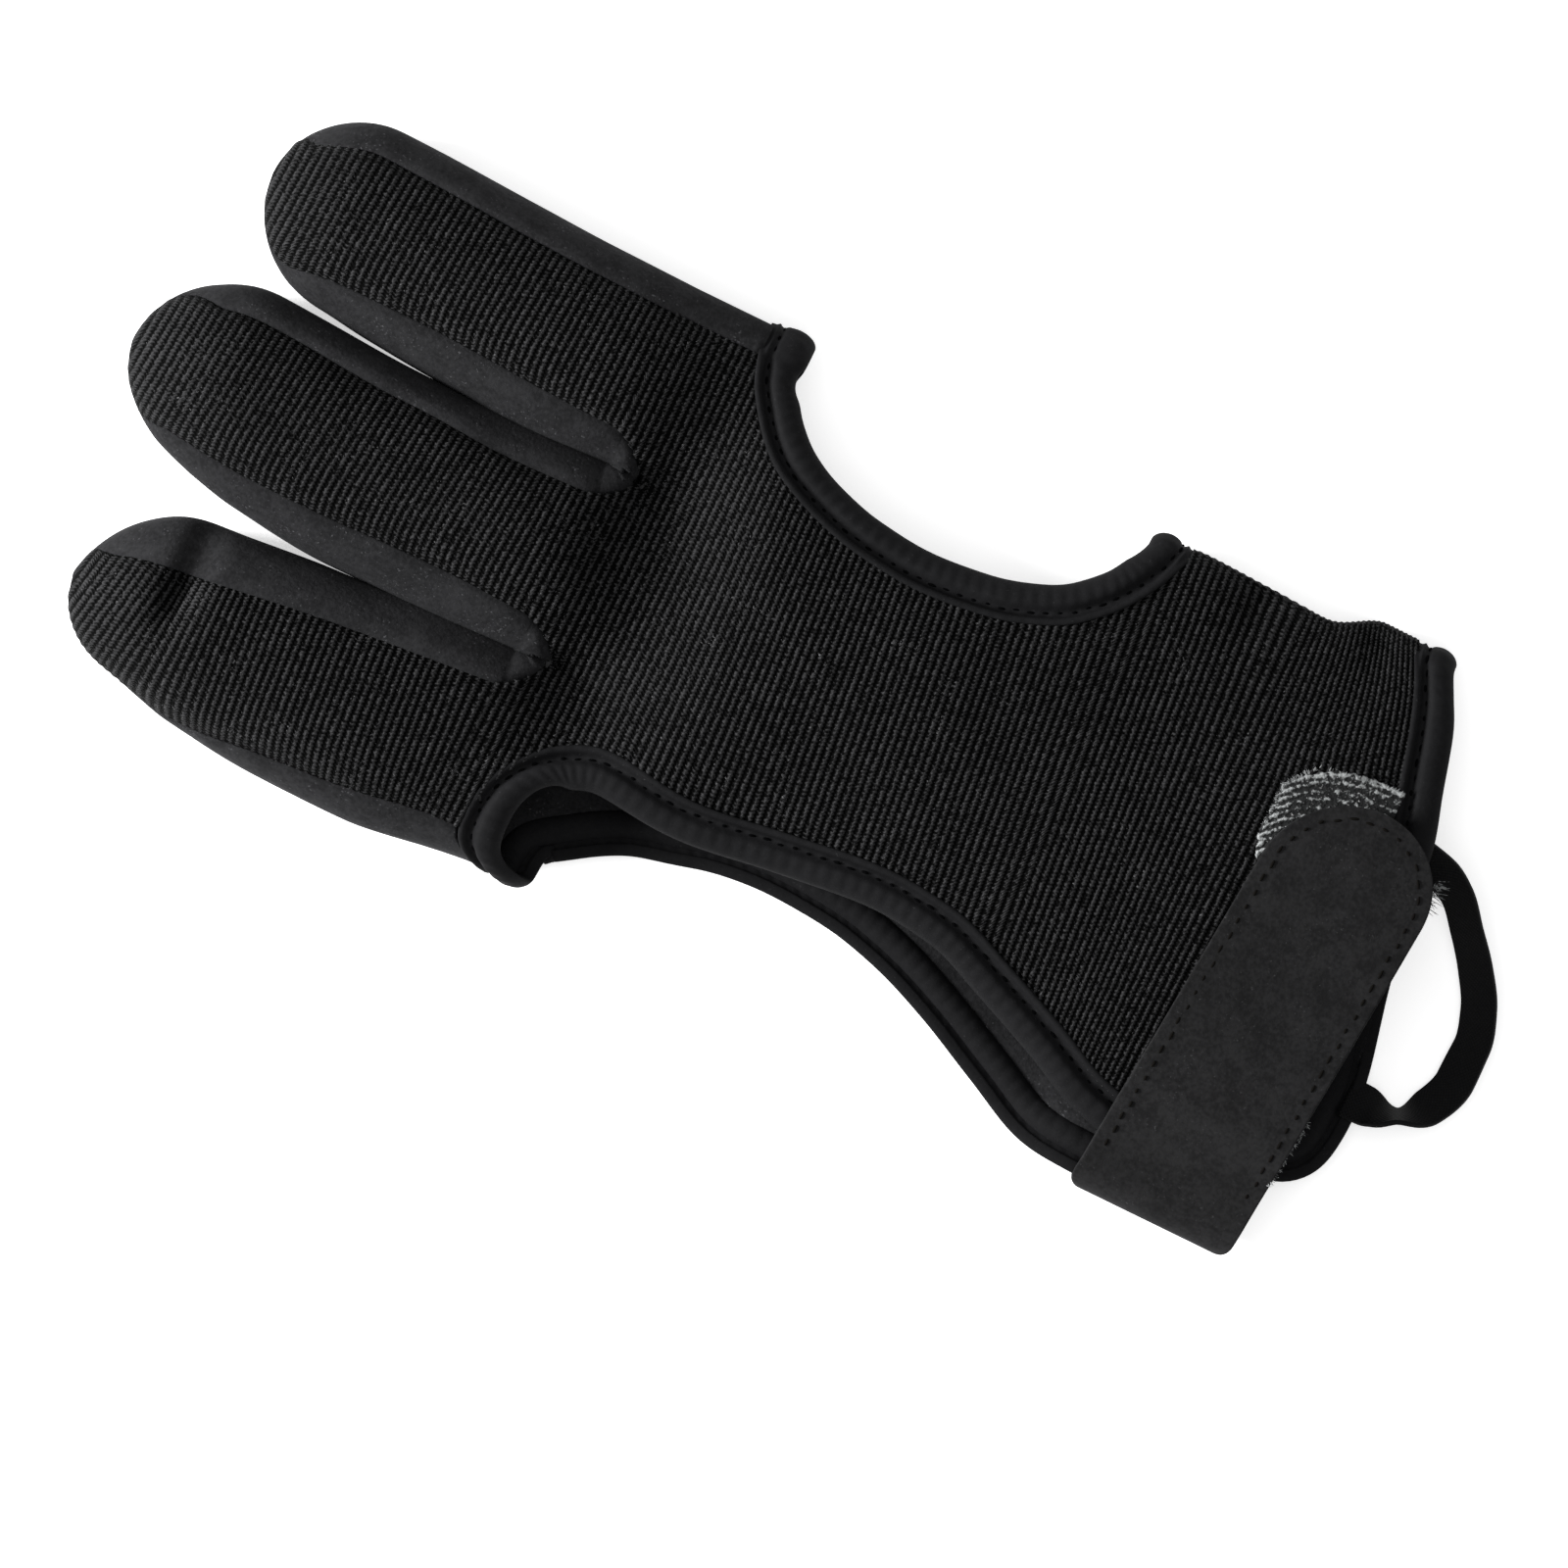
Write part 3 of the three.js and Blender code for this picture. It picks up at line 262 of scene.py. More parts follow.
class Finger:
    """One finger stall of the glove: where its sections lie and where its seams run.

    Args:
        plan: the frame.
        tip: share of the length at which it starts.
        tip_length: length over which its end rounds, mm.
        opening: shares of the tip's length between which its side strips open out.
        rows: along, middle, half width, thumb seam, little seam and loft, as shares.
        fan: along, and how far the ribs lean there for each mm across.
    """

    def __init__(self, plan: Frame2D, tip: float, tip_length: float, opening: tuple[float, float],
                 rows: Sequence[tuple[float, ...]], fan: Sequence[tuple[float, float]]) -> None:
        """Reads the finger's tables."""
        self.plan = plan
        self.opening = opening
        (self.fan,) = table(*fan)
        self.tip = plan.at_x(tip)
        self.tip_length = tip_length
        self.middle, self.half, self.thumb, self.little, self.loft = table(*rows)

    def section(self, x: Array | float) -> Section:
        """Args: x: places along the finger. Returns: its section there."""
        share = self.plan.share_x(x)
        reach = np.clip((np.asarray(x) - self.tip) / self.tip_length, 0, 1)
        closing = np.sqrt(np.maximum(1 - (1 - reach) ** 2, 0))
        opening = eased(reach, *self.opening)
        top = GLOVE_HEIGHT * self.loft(share)
        mid = top * MID_SHARE
        return Section(
            middle=self.plan.y(self.middle(share)),
            half=FINGER_WIDTH * self.half(share) * closing,
            mid=mid,
            rise=(top - mid) * closing,
            drop=mid * closing,
            thumb_seam=mix(1, self.thumb(share), opening),
            little_seam=mix(1, self.little(share), opening),
            palm_seam=mix(1, PALM_SEAM, opening),
        )

    def point(self, x: Array, angle: Array) -> Array:
        """Args: x: places; angle: 0 at the thumb side. Returns: points of the finger's outside."""
        s = self.section(x)
        return section_point(x, angle, (s.middle, s.half, s.mid, s.rise, s.drop), (TOP_POWER, UNDER_POWER))

    def seam_angles(self, x: Array, side: Side) -> tuple[Array, Array]:
        """Args: x: places; side: which side. Returns: angles of the back's seam and the palm's seam."""
        s = self.section(x)
        if side is Side.THUMB:
            return top_angle(s.thumb_seam), under_angle(s.palm_seam)
        return top_angle(-s.little_seam), 2 * np.pi + under_angle(-s.palm_seam)


def top_angle(u: Array) -> Array:
    """Args: u: lateral share of the half width. Returns: angle over the top."""
    return np.arccos(np.sign(u) * np.minimum(np.abs(u), 1) ** (TOP_POWER / 2))


def under_angle(u: Array) -> Array:
    """Args: u: lateral share of the half width. Returns: angle under the section, negative."""
    return -np.arccos(np.sign(u) * np.minimum(np.abs(u), 1) ** (UNDER_POWER / 2))


@dataclass(frozen=True)
class Dent:
    """Soft hollow of the cloth: place, size and depth in mm."""

    x: float
    y: float
    length: float
    width: float
    depth: float

    def depth_at(self, x: Array, y: Array) -> Array:
        """Args: x, y: places. Returns: how far the cloth sinks there."""
        a, b = (x - self.x) / self.length, (y - self.y) / self.width
        return self.depth * np.exp(-(a * a + b * b))


class GloveForm:
    """Outside surfaces of the glove, which every piece takes its place from.

    Args:
        plan: the frame.
    """

    BLEND = (0.247, 0.427)
    LAST_FINGER = 0.332
    CROTCH_END = 0.357
    THUMB_START, THUMB_END = 0.397, 0.726
    MOUTH_START = 0.351
    HEM_LEAN, HEM_LAST = 0.817, 0.942
    CROTCH_Y = (0.6792, 0.3695)
    WRAP_SHARE = 0.93
    ROOM_ALONG, ROOM_ACROSS = (0.787, 0.832), (0.2699, 0.4027)
    PALM_SHY = 0.6

    def __init__(self, plan: Frame2D) -> None:
        """Makes the fingers, and reads the hand's tables."""
        self.plan = plan
        self.root_x = plan.at_x(self.LAST_FINGER)
        self.crotch_x = plan.at_x(self.CROTCH_END)
        self.hem_x = plan.at_x(self.HEM_LAST)
        self.finger_a = Finger(plan, 0.0365, 14.0, (0.02, 0.28), (
            (0.037, 0.8595, 0.49, 0.9, 1.0, 0.84),
            (0.062, 0.8562, 0.49, 0.66, 0.96, 0.88),
            (0.097, 0.854, 0.49, 0.7, 0.76, 0.93),
            (0.147, 0.8462, 0.505, 0.7, 0.66, 0.97),
            (0.212, 0.8374, 0.512, 0.7, 0.6, 0.98),
            (0.277, 0.833, 0.508, 0.69, 0.62, 0.98),
            (0.337, 0.8374, 0.485, 0.68, 0.7, 0.98),
        ), ((0.037, 0.06), (0.23, 0.06), (0.332, 0.0)))
        self.finger_b = Finger(plan, 0.0, 16.0, (0.02, 0.28), (
            (0.002, 0.542, 0.485, 1.0, 1.0, 0.84),
            (0.022, 0.5454, 0.485, 0.9, 1.0, 0.88),
            (0.052, 0.5454, 0.49, 0.7, 0.83, 0.93),
            (0.112, 0.531, 0.525, 0.72, 0.72, 0.98),
            (0.187, 0.5188, 0.537, 0.72, 0.63, 1.0),
            (0.262, 0.5177, 0.52, 0.69, 0.61, 1.0),
            (0.337, 0.5232, 0.505, 0.71, 0.7, 1.0),
        ), ((0.0, 0.09), (0.27, 0.08), (0.332, 0.0)))
        self.finger_c = Finger(plan, 0.0345, 15.0, (0.0, 0.16), (
            (0.037, 0.1748, 0.44, 0.8, 1.0, 0.8),
            (0.057, 0.1836, 0.455, 0.46, 1.0, 0.86),
            (0.092, 0.1925, 0.465, 0.39, 1.0, 0.92),
            (0.137, 0.1858, 0.51, 0.48, 0.98, 0.96),
            (0.202, 0.1847, 0.555, 0.57, 0.85, 0.98),
            (0.272, 0.1869, 0.57, 0.63, 0.75, 0.98),
            (0.337, 0.1914, 0.56, 0.68, 0.66, 0.98),
        ), ((0.037, 0.2), (0.085, 0.14), (0.16, -0.08), (0.3, -0.08), (0.332, 0.0)))
        (self.hand_fan,) = table(
            (0.332, 0.0), (0.42, -0.02), (0.58, -0.1), (0.76, -0.09), (0.85, 0.0), (1.002, 0.0))
        self.fingers = (self.finger_a, self.finger_b, self.finger_c)
        self.thumb_limit, self.little_limit, self.crown = table(
            (0.187, 0.9945, 0.0177, 0.98), (0.352, 0.9845, 0.0111, 1.0), (0.397, 0.9889, 0.0155, 1.0),
            (0.447, 0.9447, 0.0708, 0.96), (0.487, 0.8783, 0.1206, 0.92), (0.562, 0.8396, 0.1538, 0.86),
            (0.637, 0.8673, 0.1372, 0.83), (0.697, 0.9447, 0.0985, 0.805), (0.737, 0.9613, 0.0487, 0.79),
            (0.787, 0.9591, 0.0044, 0.775), (0.837, 0.9535, -0.0177, 0.765), (0.902, 0.9867, -0.0177, 0.75),
            (1.002, 0.9867, -0.0177, 0.73),
        )
        (self.back_thumb,) = table(
            (0.332, 0.9336), (0.387, 0.9425), (0.398, 0.938), (0.404, 0.9004), (0.415, 0.8617),
            (0.429, 0.823), (0.447, 0.7898), (0.487, 0.7511), (0.517, 0.7345), (0.562, 0.7246),
            (0.612, 0.7345), (0.662, 0.7699), (0.692, 0.823), (0.707, 0.8673), (0.717, 0.9115),
            (0.723, 0.9425), (0.737, 0.9469), (0.837, 0.9381), (0.902, 0.9668), (1.002, 0.9668),
        )
        (self.back_little,) = table(
            (0.332, 0.0774), (0.351, 0.0819), (0.355, 0.1372), (0.362, 0.1814), (0.377, 0.2257),
            (0.397, 0.2588), (0.422, 0.2788), (0.487, 0.2644), (0.562, 0.2854), (0.637, 0.3031),
            (0.687, 0.292), (0.737, 0.25), (0.787, 0.2035), (0.837, 0.1538), (0.907, 0.1316), (1.002, 0.1316),
        )
        (self.palm_little,) = table(
            (0.332, 0.0597), (0.352, 0.058), (0.378, 0.062), (0.386, 0.085), (0.393, 0.12),
            (0.412, 0.15), (0.437, 0.187), (0.462, 0.213), (0.487, 0.2257), (0.522, 0.2456),
            (0.562, 0.2533), (0.612, 0.2467),
            (0.662, 0.2212), (0.712, 0.177), (0.762, 0.1239), (0.812, 0.0752), (0.867, 0.0708),
            (0.937, 0.1261), (1.002, 0.1925),
        )
        (self.back_hem,) = table(
            (0.1261, 0.9395), (0.469, 0.9435), (0.6681, 0.942), (0.7788, 0.9295), (0.8894, 0.915),
            (0.9889, 0.8945),
        )
        (self.palm_hem,) = table(
            (0.104, 0.9495), (0.1814, 0.967), (0.2699, 0.973), (0.4912, 0.955), (0.7124, 0.937),
            (0.8894, 0.912), (0.9889, 0.892),
        )
        self.dents = [Dent(plan.at_x(along), plan.at_y(across), *size) for along, across, *size in (
            (0.1075, 0.22, 2.5, 5.0, 3.6), (0.402, 0.53, 10.5, 26.0, 5.4), (0.3885, 0.721, 7.0, 7.0, 2.2),
            (0.378, 0.37, 8.0, 9.0, 2.6), (0.37, 0.62, 7.0, 8.0, 2.0), (0.7825, 0.919, 3.0, 6.0, 1.1),
            (0.872, 0.94, 3.0, 7.0, 1.1), (0.457, 0.5354, 18.9, 9.4, 0.9), (0.762, 0.7124, 13.5, 8.1, 0.9),
            (0.817, 0.9115, 5.9, 13.5, 0.5), (0.387, 0.8341, 6.8, 8.1, 0.7),
        )]

    def sink(self, x: Array, y: Array) -> Array:
        """Args: x, y: places. Returns: how far all the dents lower the back there."""
        return sum(dent.depth_at(x, y) for dent in self.dents)

    def merging(self, x: Array) -> Array:
        """Args: x: places. Returns: how far the fingers have merged into the hand."""
        return eased(x, *self.plan.span_x(self.BLEND))

    def hand(self, x: Array) -> tuple[Array, Array, Array, Array]:
        """Args: x: places. Returns: middle, half width, top and widest line's height of the hand there."""
        share = self.plan.share_x(x)
        thumb, little = self.plan.y(self.thumb_limit(share)), self.plan.y(self.little_limit(share))
        top = GLOVE_HEIGHT * self.crown(share)
        return (thumb + little) / 2, (thumb - little) / 2, top, top * MID_SHARE

    def hand_top(self, x: Array, y: Array) -> Array:
        """Args: x, y: places. Returns: height of the hand's own dome."""
        middle, half, top, mid = self.hand(x)
        return mid + (top - mid) * arch((y - middle) / half, HAND_TOP_POWER)

    def hand_under(self, x: Array, y: Array) -> Array:
        """Args: x, y: places. Returns: height of the hand's own underside."""
        middle, half, _, mid = self.hand(x)
        return mid * (1 - arch((y - middle) / half, HAND_UNDER_POWER))

    def top(self, x: Array, y: Array) -> Array:
        """Args: x, y: places. Returns: height of the back's outside."""
        heights = []
        for finger in self.fingers:
            s = finger.section(x)
            heights.append(s.mid + s.rise * arch((y - s.middle) / np.maximum(s.half, NARROWEST), TOP_POWER))
        return mix(np.maximum.reduce(heights), self.hand_top(x, y), self.merging(x)) - self.sink(x, y)

    def strap_room(self, x: Array, y: Array) -> Array:
        """Args: x, y: places. Returns: how far the palm is raised over the closure sewn under it."""
        along = eased(x, *self.plan.span_x(self.ROOM_ALONG))
        across = 1 - eased(y, *self.plan.span_y(self.ROOM_ACROSS))
        return (STRAP_THICKNESS + LAY_GAP + TAPE_PROUD) * along * across

    def under(self, x: Array, y: Array) -> Array:
        """Args: x, y: places. Returns: height of the palm's outside."""
        heights = []
        for finger in self.fingers:
            s = finger.section(x)
            heights.append(s.mid - s.drop * arch((y - s.middle) / np.maximum(s.half, NARROWEST), UNDER_POWER))
        merged = mix(np.minimum.reduce(heights), self.hand_under(x, y), self.merging(x))
        return merged + self.strap_room(x, y)

    def tape_under(self, x: Array, y: Array) -> Array:
        """Args: x, y: places. Returns: height of a palm binding's sewn line."""
        return self.under(x, y) + TAPE_PROUD

    def hand_point(self, x: Array, angle: Array) -> Array:
        """Args: x: places; angle: 0 at the thumb side. Returns: points of the hand's section."""
        middle, half, top, mid = self.hand(x)
        powers = (HAND_TOP_POWER, HAND_UNDER_POWER)
        return section_point(x, angle, (middle, half, mid, top - mid, mid), powers)

    @property
    def wrap_under(self) -> float:
        """Returns: angle at which the wrapped back meets the palm."""
        return -math.acos(self.WRAP_SHARE ** (HAND_UNDER_POWER / 2))

    def wrap_start(self, x: Array) -> Array:
        """Args: x: places. Returns: angle at which the back starts to wrap round the thumb side."""
        middle, half, _, _ = self.hand(x)
        u = np.clip((self.back_thumb_y(x) - middle) / half, 0, 1)
        return np.arccos(u ** (HAND_TOP_POWER / 2))

    def back_thumb_y(self, x: Array) -> Array:
        """Args: x: places. Returns: the back's edge on the thumb side."""
        s = self.finger_a.section(x)
        beside = s.middle + s.half * s.thumb_seam
        edge = self.plan.y(self.back_thumb(self.plan.share_x(x)))
        return np.where(x > self.plan.x(self.THUMB_START), edge, beside)

    def back_little_y(self, x: Array) -> Array:
        """Args: x: places. Returns: the back's edge on the little-finger side."""
        s = self.finger_c.section(x)
        beside = s.middle - s.half * s.little_seam
        edge = self.plan.y(self.back_little(self.plan.share_x(x)))
        return np.where(x > self.plan.x(self.MOUTH_START), edge, beside)

    def palm_thumb_y(self, x: Array) -> Array:
        """Args: x: places. Returns: the palm's edge on the thumb side."""
        s = self.finger_a.section(x)
        beside = s.middle + s.half * PALM_SEAM
        notch = self.plan.y(self.back_thumb(self.plan.share_x(x))) - self.PALM_SHY
        middle, half, _, _ = self.hand(x)
        wrapped = middle + half * self.WRAP_SHARE - 2 * SEAM_GAP
        return np.where(x <= self.plan.x(self.THUMB_START), beside,
                        np.where(x < self.plan.x(self.THUMB_END), notch, wrapped))

    def palm_little_y(self, x: Array) -> Array:
        """Args: x: places. Returns: the palm's edge on the little-finger side."""
        s = self.finger_c.section(x)
        beside = s.middle - s.half * PALM_SEAM
        edge = self.plan.y(self.palm_little(self.plan.share_x(x)))
        return np.where(x > self.plan.x(self.MOUTH_START), edge, beside)

    def leaned(self, x: Array, y: Array, hem: Curve) -> Array:
        """Rows lean toward the hem. Args: x, y: places before leaning; hem: the hem's line. Returns: x."""
        start = self.plan.at_x(self.HEM_LEAN)
        t = np.clip((x - start) / (self.hem_x - start), 0, 1)
        return np.where(x <= start, x, mix(start, self.plan.x(hem(self.plan.share_y(y))), t))


class Pattern(Enum):
    """Fine relief of a cloth."""

    KNIT = "knit"
    NAP = "nap"
    TWILL = "twill"
    PILE = "pile"
    WEAVE = "weave"


@dataclass(frozen=True)
class ClothFinish:
    """How a cloth looks.

    Args:
        colour: its base colour, linear.
        lint: colour of its stray fibres and flecks, linear.
        lint_share: how much of it they cover.
        roughness: of its surface.
        sheen: weight of its fuzz.
        relief: depth of its fine relief, metres.
        pattern: kind of relief.
        shade: how much of its colour is left in the hollows of the relief, where it is painted shade.
    """

    colour: tuple[float, float, float]
    lint: tuple[float, float, float]
    lint_share: float
    roughness: float
    sheen: float
    relief: float
    pattern: Pattern
    shade: float


FINISHES: dict[Finish, ClothFinish] = {
    # The rib knit's shade of 0.01 paints the valleys between its ribs nearly black: painted shade.
    Finish.RIB_KNIT: ClothFinish(
        colour=(0.0334, 0.0334, 0.0344), lint=(0.08, 0.08, 0.082), lint_share=0.04,
        roughness=0.9, sheen=0.0, relief=0.00025, pattern=Pattern.KNIT, shade=0.01),
    Finish.FLANNEL: ClothFinish(
        colour=(0.0163, 0.0163, 0.0172), lint=(0.05, 0.05, 0.053), lint_share=0.1,
        roughness=0.95, sheen=0.02, relief=0.00012, pattern=Pattern.NAP, shade=0.55),
    Finish.BINDING: ClothFinish(
        colour=(0.0079, 0.0079, 0.0085), lint=(0.02, 0.02, 0.021), lint_share=0.02,
        roughness=0.75, sheen=0.0, relief=0.00004, pattern=Pattern.NAP, shade=0.8),
    Finish.SUEDE: ClothFinish(
        colour=(0.0139, 0.0138, 0.0142), lint=(0.03, 0.03, 0.031), lint_share=0.05,
        roughness=0.97, sheen=0.02, relief=0.00007, pattern=Pattern.NAP, shade=0.55),
    Finish.LOOP_PILE: ClothFinish(
        colour=(0.28, 0.29, 0.29), lint=(0.3, 0.3, 0.3), lint_share=0.1,
        roughness=0.98, sheen=0.05, relief=0.0003, pattern=Pattern.PILE, shade=0.05),
    Finish.HOOK_TAPE: ClothFinish(
        colour=(0.01, 0.01, 0.011), lint=(0.16, 0.16, 0.17), lint_share=0.14,
        roughness=0.7, sheen=0.0, relief=0.00014, pattern=Pattern.TWILL, shade=0.4),
    Finish.RIBBON: ClothFinish(
        colour=(0.0078, 0.0078, 0.0082), lint=(0.015, 0.015, 0.016), lint_share=0.03,
        roughness=0.6, sheen=0.0, relief=0.00006, pattern=Pattern.WEAVE, shade=0.6),
}
THREAD_COLOURS = {Finish.BINDING: (0.002, 0.002, 0.0022), Finish.SUEDE: (0.0055, 0.005, 0.0045)}
SPECULAR = 0.05
SHEEN_ROUGHNESS, SHEEN_TINT = 0.5, (0.8, 0.8, 0.85, 1.0)
THREAD_ROUGHNESS = 0.9


@dataclass(frozen=True)
class Wiring:
    """Small helper that adds nodes to one tree and joins them.

    Args:
        tree: the node tree.
    """

    tree: bpy.types.NodeTree

    def node(self, kind: str, **values: object) -> bpy.types.Node:
        """Args: kind: node type; values: its properties. Returns: the node."""
        made = self.tree.nodes.new(kind)
        for key, value in values.items():
            setattr(made, key, value)
        return made

    def join(self, source: Socket | float, target: Socket) -> None:
        """Args: source: a socket or a number; target: the socket it feeds."""
        if isinstance(source, Socket):
            self.tree.links.new(source, target)
        else:
            target.default_value = source

    def math(self, operation: str, a: Socket | float,
             b: Socket | float = 0.0) -> Socket:
        """Args: operation: of the math node; a, b: its inputs. Returns: its output."""
        made = self.node("ShaderNodeMath", operation=operation)
        self.join(a, made.inputs[0])
        self.join(b, made.inputs[1])
        return made.outputs[0]

    def weighed(self, a: Socket, share_a: float, b: Socket,
                share_b: float) -> Socket:
        """Args: a, b: sockets; share_a, share_b: their weights. Returns: the weighed sum."""
        return self.math("ADD", self.math("MULTIPLY", a, share_a), self.math("MULTIPLY", b, share_b))

    def sine(self, value: Socket, pitch: float) -> Socket:
        """Args: value: a distance; pitch: of the wave, in the same unit. Returns: the wave, -1 to 1."""
        return self.math("SINE", self.math("MULTIPLY", value, 2 * math.pi / pitch))

    def noise(self, vector: Socket, scale: float, detail: float = 3.0) -> Socket:
        """Args: vector: place; scale: per metre; detail: octaves. Returns: the noise, about 0 to 1."""
        made = self.node("ShaderNodeTexNoise")
        self.join(vector, made.inputs["Vector"])
        made.inputs["Scale"].default_value = scale
        made.inputs["Detail"].default_value = detail
        return made.outputs["Fac"]

    def stepped(self, value: Socket, start: float, end: float) -> Socket:
        """Args: value: a socket; start, end: the range. Returns: 0 before it, 1 after it."""
        made = self.node("ShaderNodeMapRange", interpolation_type="SMOOTHSTEP")
        self.join(value, made.inputs["Value"])
        made.inputs["From Min"].default_value = start
        made.inputs["From Max"].default_value = end
        return made.outputs["Result"]


@dataclass(frozen=True)
class Relief:
    """Numbers of a pattern's relief.

    Args:
        pitch: of its waves, metres.
        shares: weights of its first part and of its fuzz, loops' rows or second noise.
        tones: heights between which its colour goes from painted shade to full.
    """

    pitch: float
    shares: tuple[float, float]
    tones: tuple[float, float]


RELIEFS = {
    Pattern.KNIT: Relief(0.00056, (0.35, 0.9), (-0.6, 1.55)),
    Pattern.NAP: Relief(0.0, (0.6, 0.6), (0.35, 0.85)),
    Pattern.TWILL: Relief(0.0008, (0.3, 0.5), (-0.1, 0.6)),
    Pattern.PILE: Relief(0.0013, (1.7, 0.17), (0.92, 1.25)),
    Pattern.WEAVE: Relief(0.0006, (0.4, 0.2), (-0.2, 0.5)),
}


def principled(name: str, values: dict[str, object]) -> tuple[bpy.types.Material, bpy.types.Node]:
    """Args: name: of the material; values: of its shader's inputs. Returns: the material and the shader."""
    material = bpy.data.materials.new(name)
    material.use_nodes = True
    shader = material.node_tree.nodes["Principled BSDF"]
    for key, value in values.items():
        shader.inputs[key].default_value = value
    return material, shader


class Effects:
    """Node groups shared by the finishes: flecks of lint, and the fine relief of each pattern with its tone,
    which paints shade into the relief's hollows.

    Noise scales are per metre, and each detail is a number of octaves.
    """

    FUZZ = (1800.0, 3.0)
    FIBRES, FIBRE_SHARE = (2600.0, 2.0), 0.75
    PATCHES, PATCH_SHARE = (220.0, 2.0), 0.25
    LINT_START, LINT_REACH, LINT_CONTRAST = 0.66, 0.4, 12.0
    WIGGLE, TWIST, UNEVEN, BEAD_TONE = 0.5, 1.3, 4.0, 0.48
    LOOPS = (1500.0, 4.0)
    FRINGE, FRINGE_EDGE = 0.27, (0.0004, 0.002)
    NAP = (900.0, 4.0)
    BLOTCHES, BLOTCH_SHARE = (240.0, 3.0), 0.7

    def __init__(self) -> None:
        """Builds the groups."""
        self.lint = self.lint_group()
        self.relief = {pattern: self.relief_group(pattern) for pattern in Pattern}

    def opened(self, name: str, inputs: Sequence[tuple[str, str]],
               outputs: Sequence[tuple[str, str]]) -> tuple:
        """Args: name: of the group; inputs, outputs: names and socket types. Returns: group, wiring, ends."""
        group = bpy.data.node_groups.new(name, "ShaderNodeTree")
        for label, kind in inputs:
            group.interface.new_socket(name=label, in_out="INPUT", socket_type=kind)
        for label, kind in outputs:
            group.interface.new_socket(name=label, in_out="OUTPUT", socket_type=kind)
        wiring = Wiring(group)
        return group, wiring, wiring.node("NodeGroupInput"), wiring.node("NodeGroupOutput")

    def lint_group(self) -> bpy.types.NodeTree:
        """Returns: a group whose mask is 1 on stray fibres and flecks."""
        group, wiring, start, end = self.opened(
            "lint",
            [("Place", "NodeSocketVector"), ("Share", "NodeSocketFloat")],
            [("Mask", "NodeSocketFloat")])
        place, share = start.outputs["Place"], start.outputs["Share"]
        fibres = wiring.noise(place, *self.FIBRES)
        patches = wiring.noise(place, *self.PATCHES)
        both = wiring.weighed(fibres, self.FIBRE_SHARE, patches, self.PATCH_SHARE)
        edge = wiring.math("SUBTRACT", self.LINT_START, wiring.math("MULTIPLY", share, self.LINT_REACH))
        mask = wiring.math("MULTIPLY", wiring.math("SUBTRACT", both, edge), self.LINT_CONTRAST)
        clamped = wiring.node("ShaderNodeClamp")
        wiring.join(mask, clamped.inputs["Value"])
        wiring.join(clamped.outputs["Result"], end.inputs["Mask"])
        return group

    def knit(self, wiring: Wiring, u: Socket, v: Socket,
             fuzz: Socket) -> tuple[Socket, Socket]:
        """Beads of yarn twisted along each rib.

        Args:
            wiring: of the group.
            u, v: distances across and along the ribs.
            fuzz: fine noise.

        Returns:
            Height of the beads, and the tone: a painted highlight on a rib's crest and on each bead, and
                painted shade between ribs.
        """
        relief, turn = RELIEFS[Pattern.KNIT], 2 * math.pi
        centred = wiring.math("SUBTRACT", fuzz, 0.5)
        wiggle = wiring.math("MULTIPLY", centred, self.WIGGLE * RIB_PITCH * MM)
        row = wiring.math("MULTIPLY", wiring.math("ADD", u, wiggle), turn / (RIB_PITCH * MM))
        rib = wiring.math("FLOOR", wiring.math("DIVIDE", u, RIB_PITCH * MM))
        own = wiring.node("ShaderNodeTexWhiteNoise", noise_dimensions="1D")
        wiring.join(rib, own.inputs["W"])
        bead = wiring.math("MULTIPLY", v, turn / relief.pitch)
        shift = wiring.weighed(wiring.math("SINE", row), self.TWIST, own.outputs["Value"], turn)
        wave = wiring.math("SINE", wiring.math("ADD", bead, shift))
        height = wiring.weighed(wave, relief.shares[0], fuzz, relief.shares[1])
        # Painted light: high on each rib's crest and bead (painted highlight), low between ribs (painted
        # shade).
        lit = wiring.math("ADD", wiring.math("COSINE", row), wiring.math("MULTIPLY", wave, self.BEAD_TONE))
        tone = wiring.math("ADD", lit, wiring.math("MULTIPLY", centred, self.UNEVEN))
        return height, wiring.stepped(tone, *relief.tones)

    def relief_group(self, pattern: Pattern) -> bpy.types.NodeTree:
        """Args: pattern: which. Returns: a group that gives the height of its fine relief and its tone, low
        in the relief's hollows as painted shade; on the knit also a painted highlight on the crests, on the
        nap also the cloth's own blotches.
        """
        group, wiring, start, end = self.opened(
            f"relief_{pattern.value}",
            [("Place", "NodeSocketVector"), ("Cloth", "NodeSocketVector")],
            [("Height", "NodeSocketFloat"), ("Tone", "NodeSocketFloat")])
        place = start.outputs["Place"]
        split = wiring.node("ShaderNodeSeparateXYZ")
        wiring.join(start.outputs["Cloth"], split.inputs[0])
        u, v = split.outputs["X"], split.outputs["Y"]
        fuzz = wiring.noise(place, *self.FUZZ)
        relief = RELIEFS[pattern]
        first, second = relief.shares
        if pattern is Pattern.KNIT:
            height, tone = self.knit(wiring, u, v, fuzz)
        elif pattern is Pattern.TWILL:
            wave = wiring.sine(wiring.math("ADD", u, v), relief.pitch)
            height = wiring.weighed(wave, first, fuzz, second)
            tone = wiring.stepped(height, *relief.tones)
        elif pattern is Pattern.WEAVE:
            crossed = wiring.math("MULTIPLY", wiring.sine(u, relief.pitch), wiring.sine(v, relief.pitch))
            height = wiring.weighed(crossed, first, fuzz, second)
            tone = wiring.stepped(height, *relief.tones)
        elif pattern is Pattern.PILE:
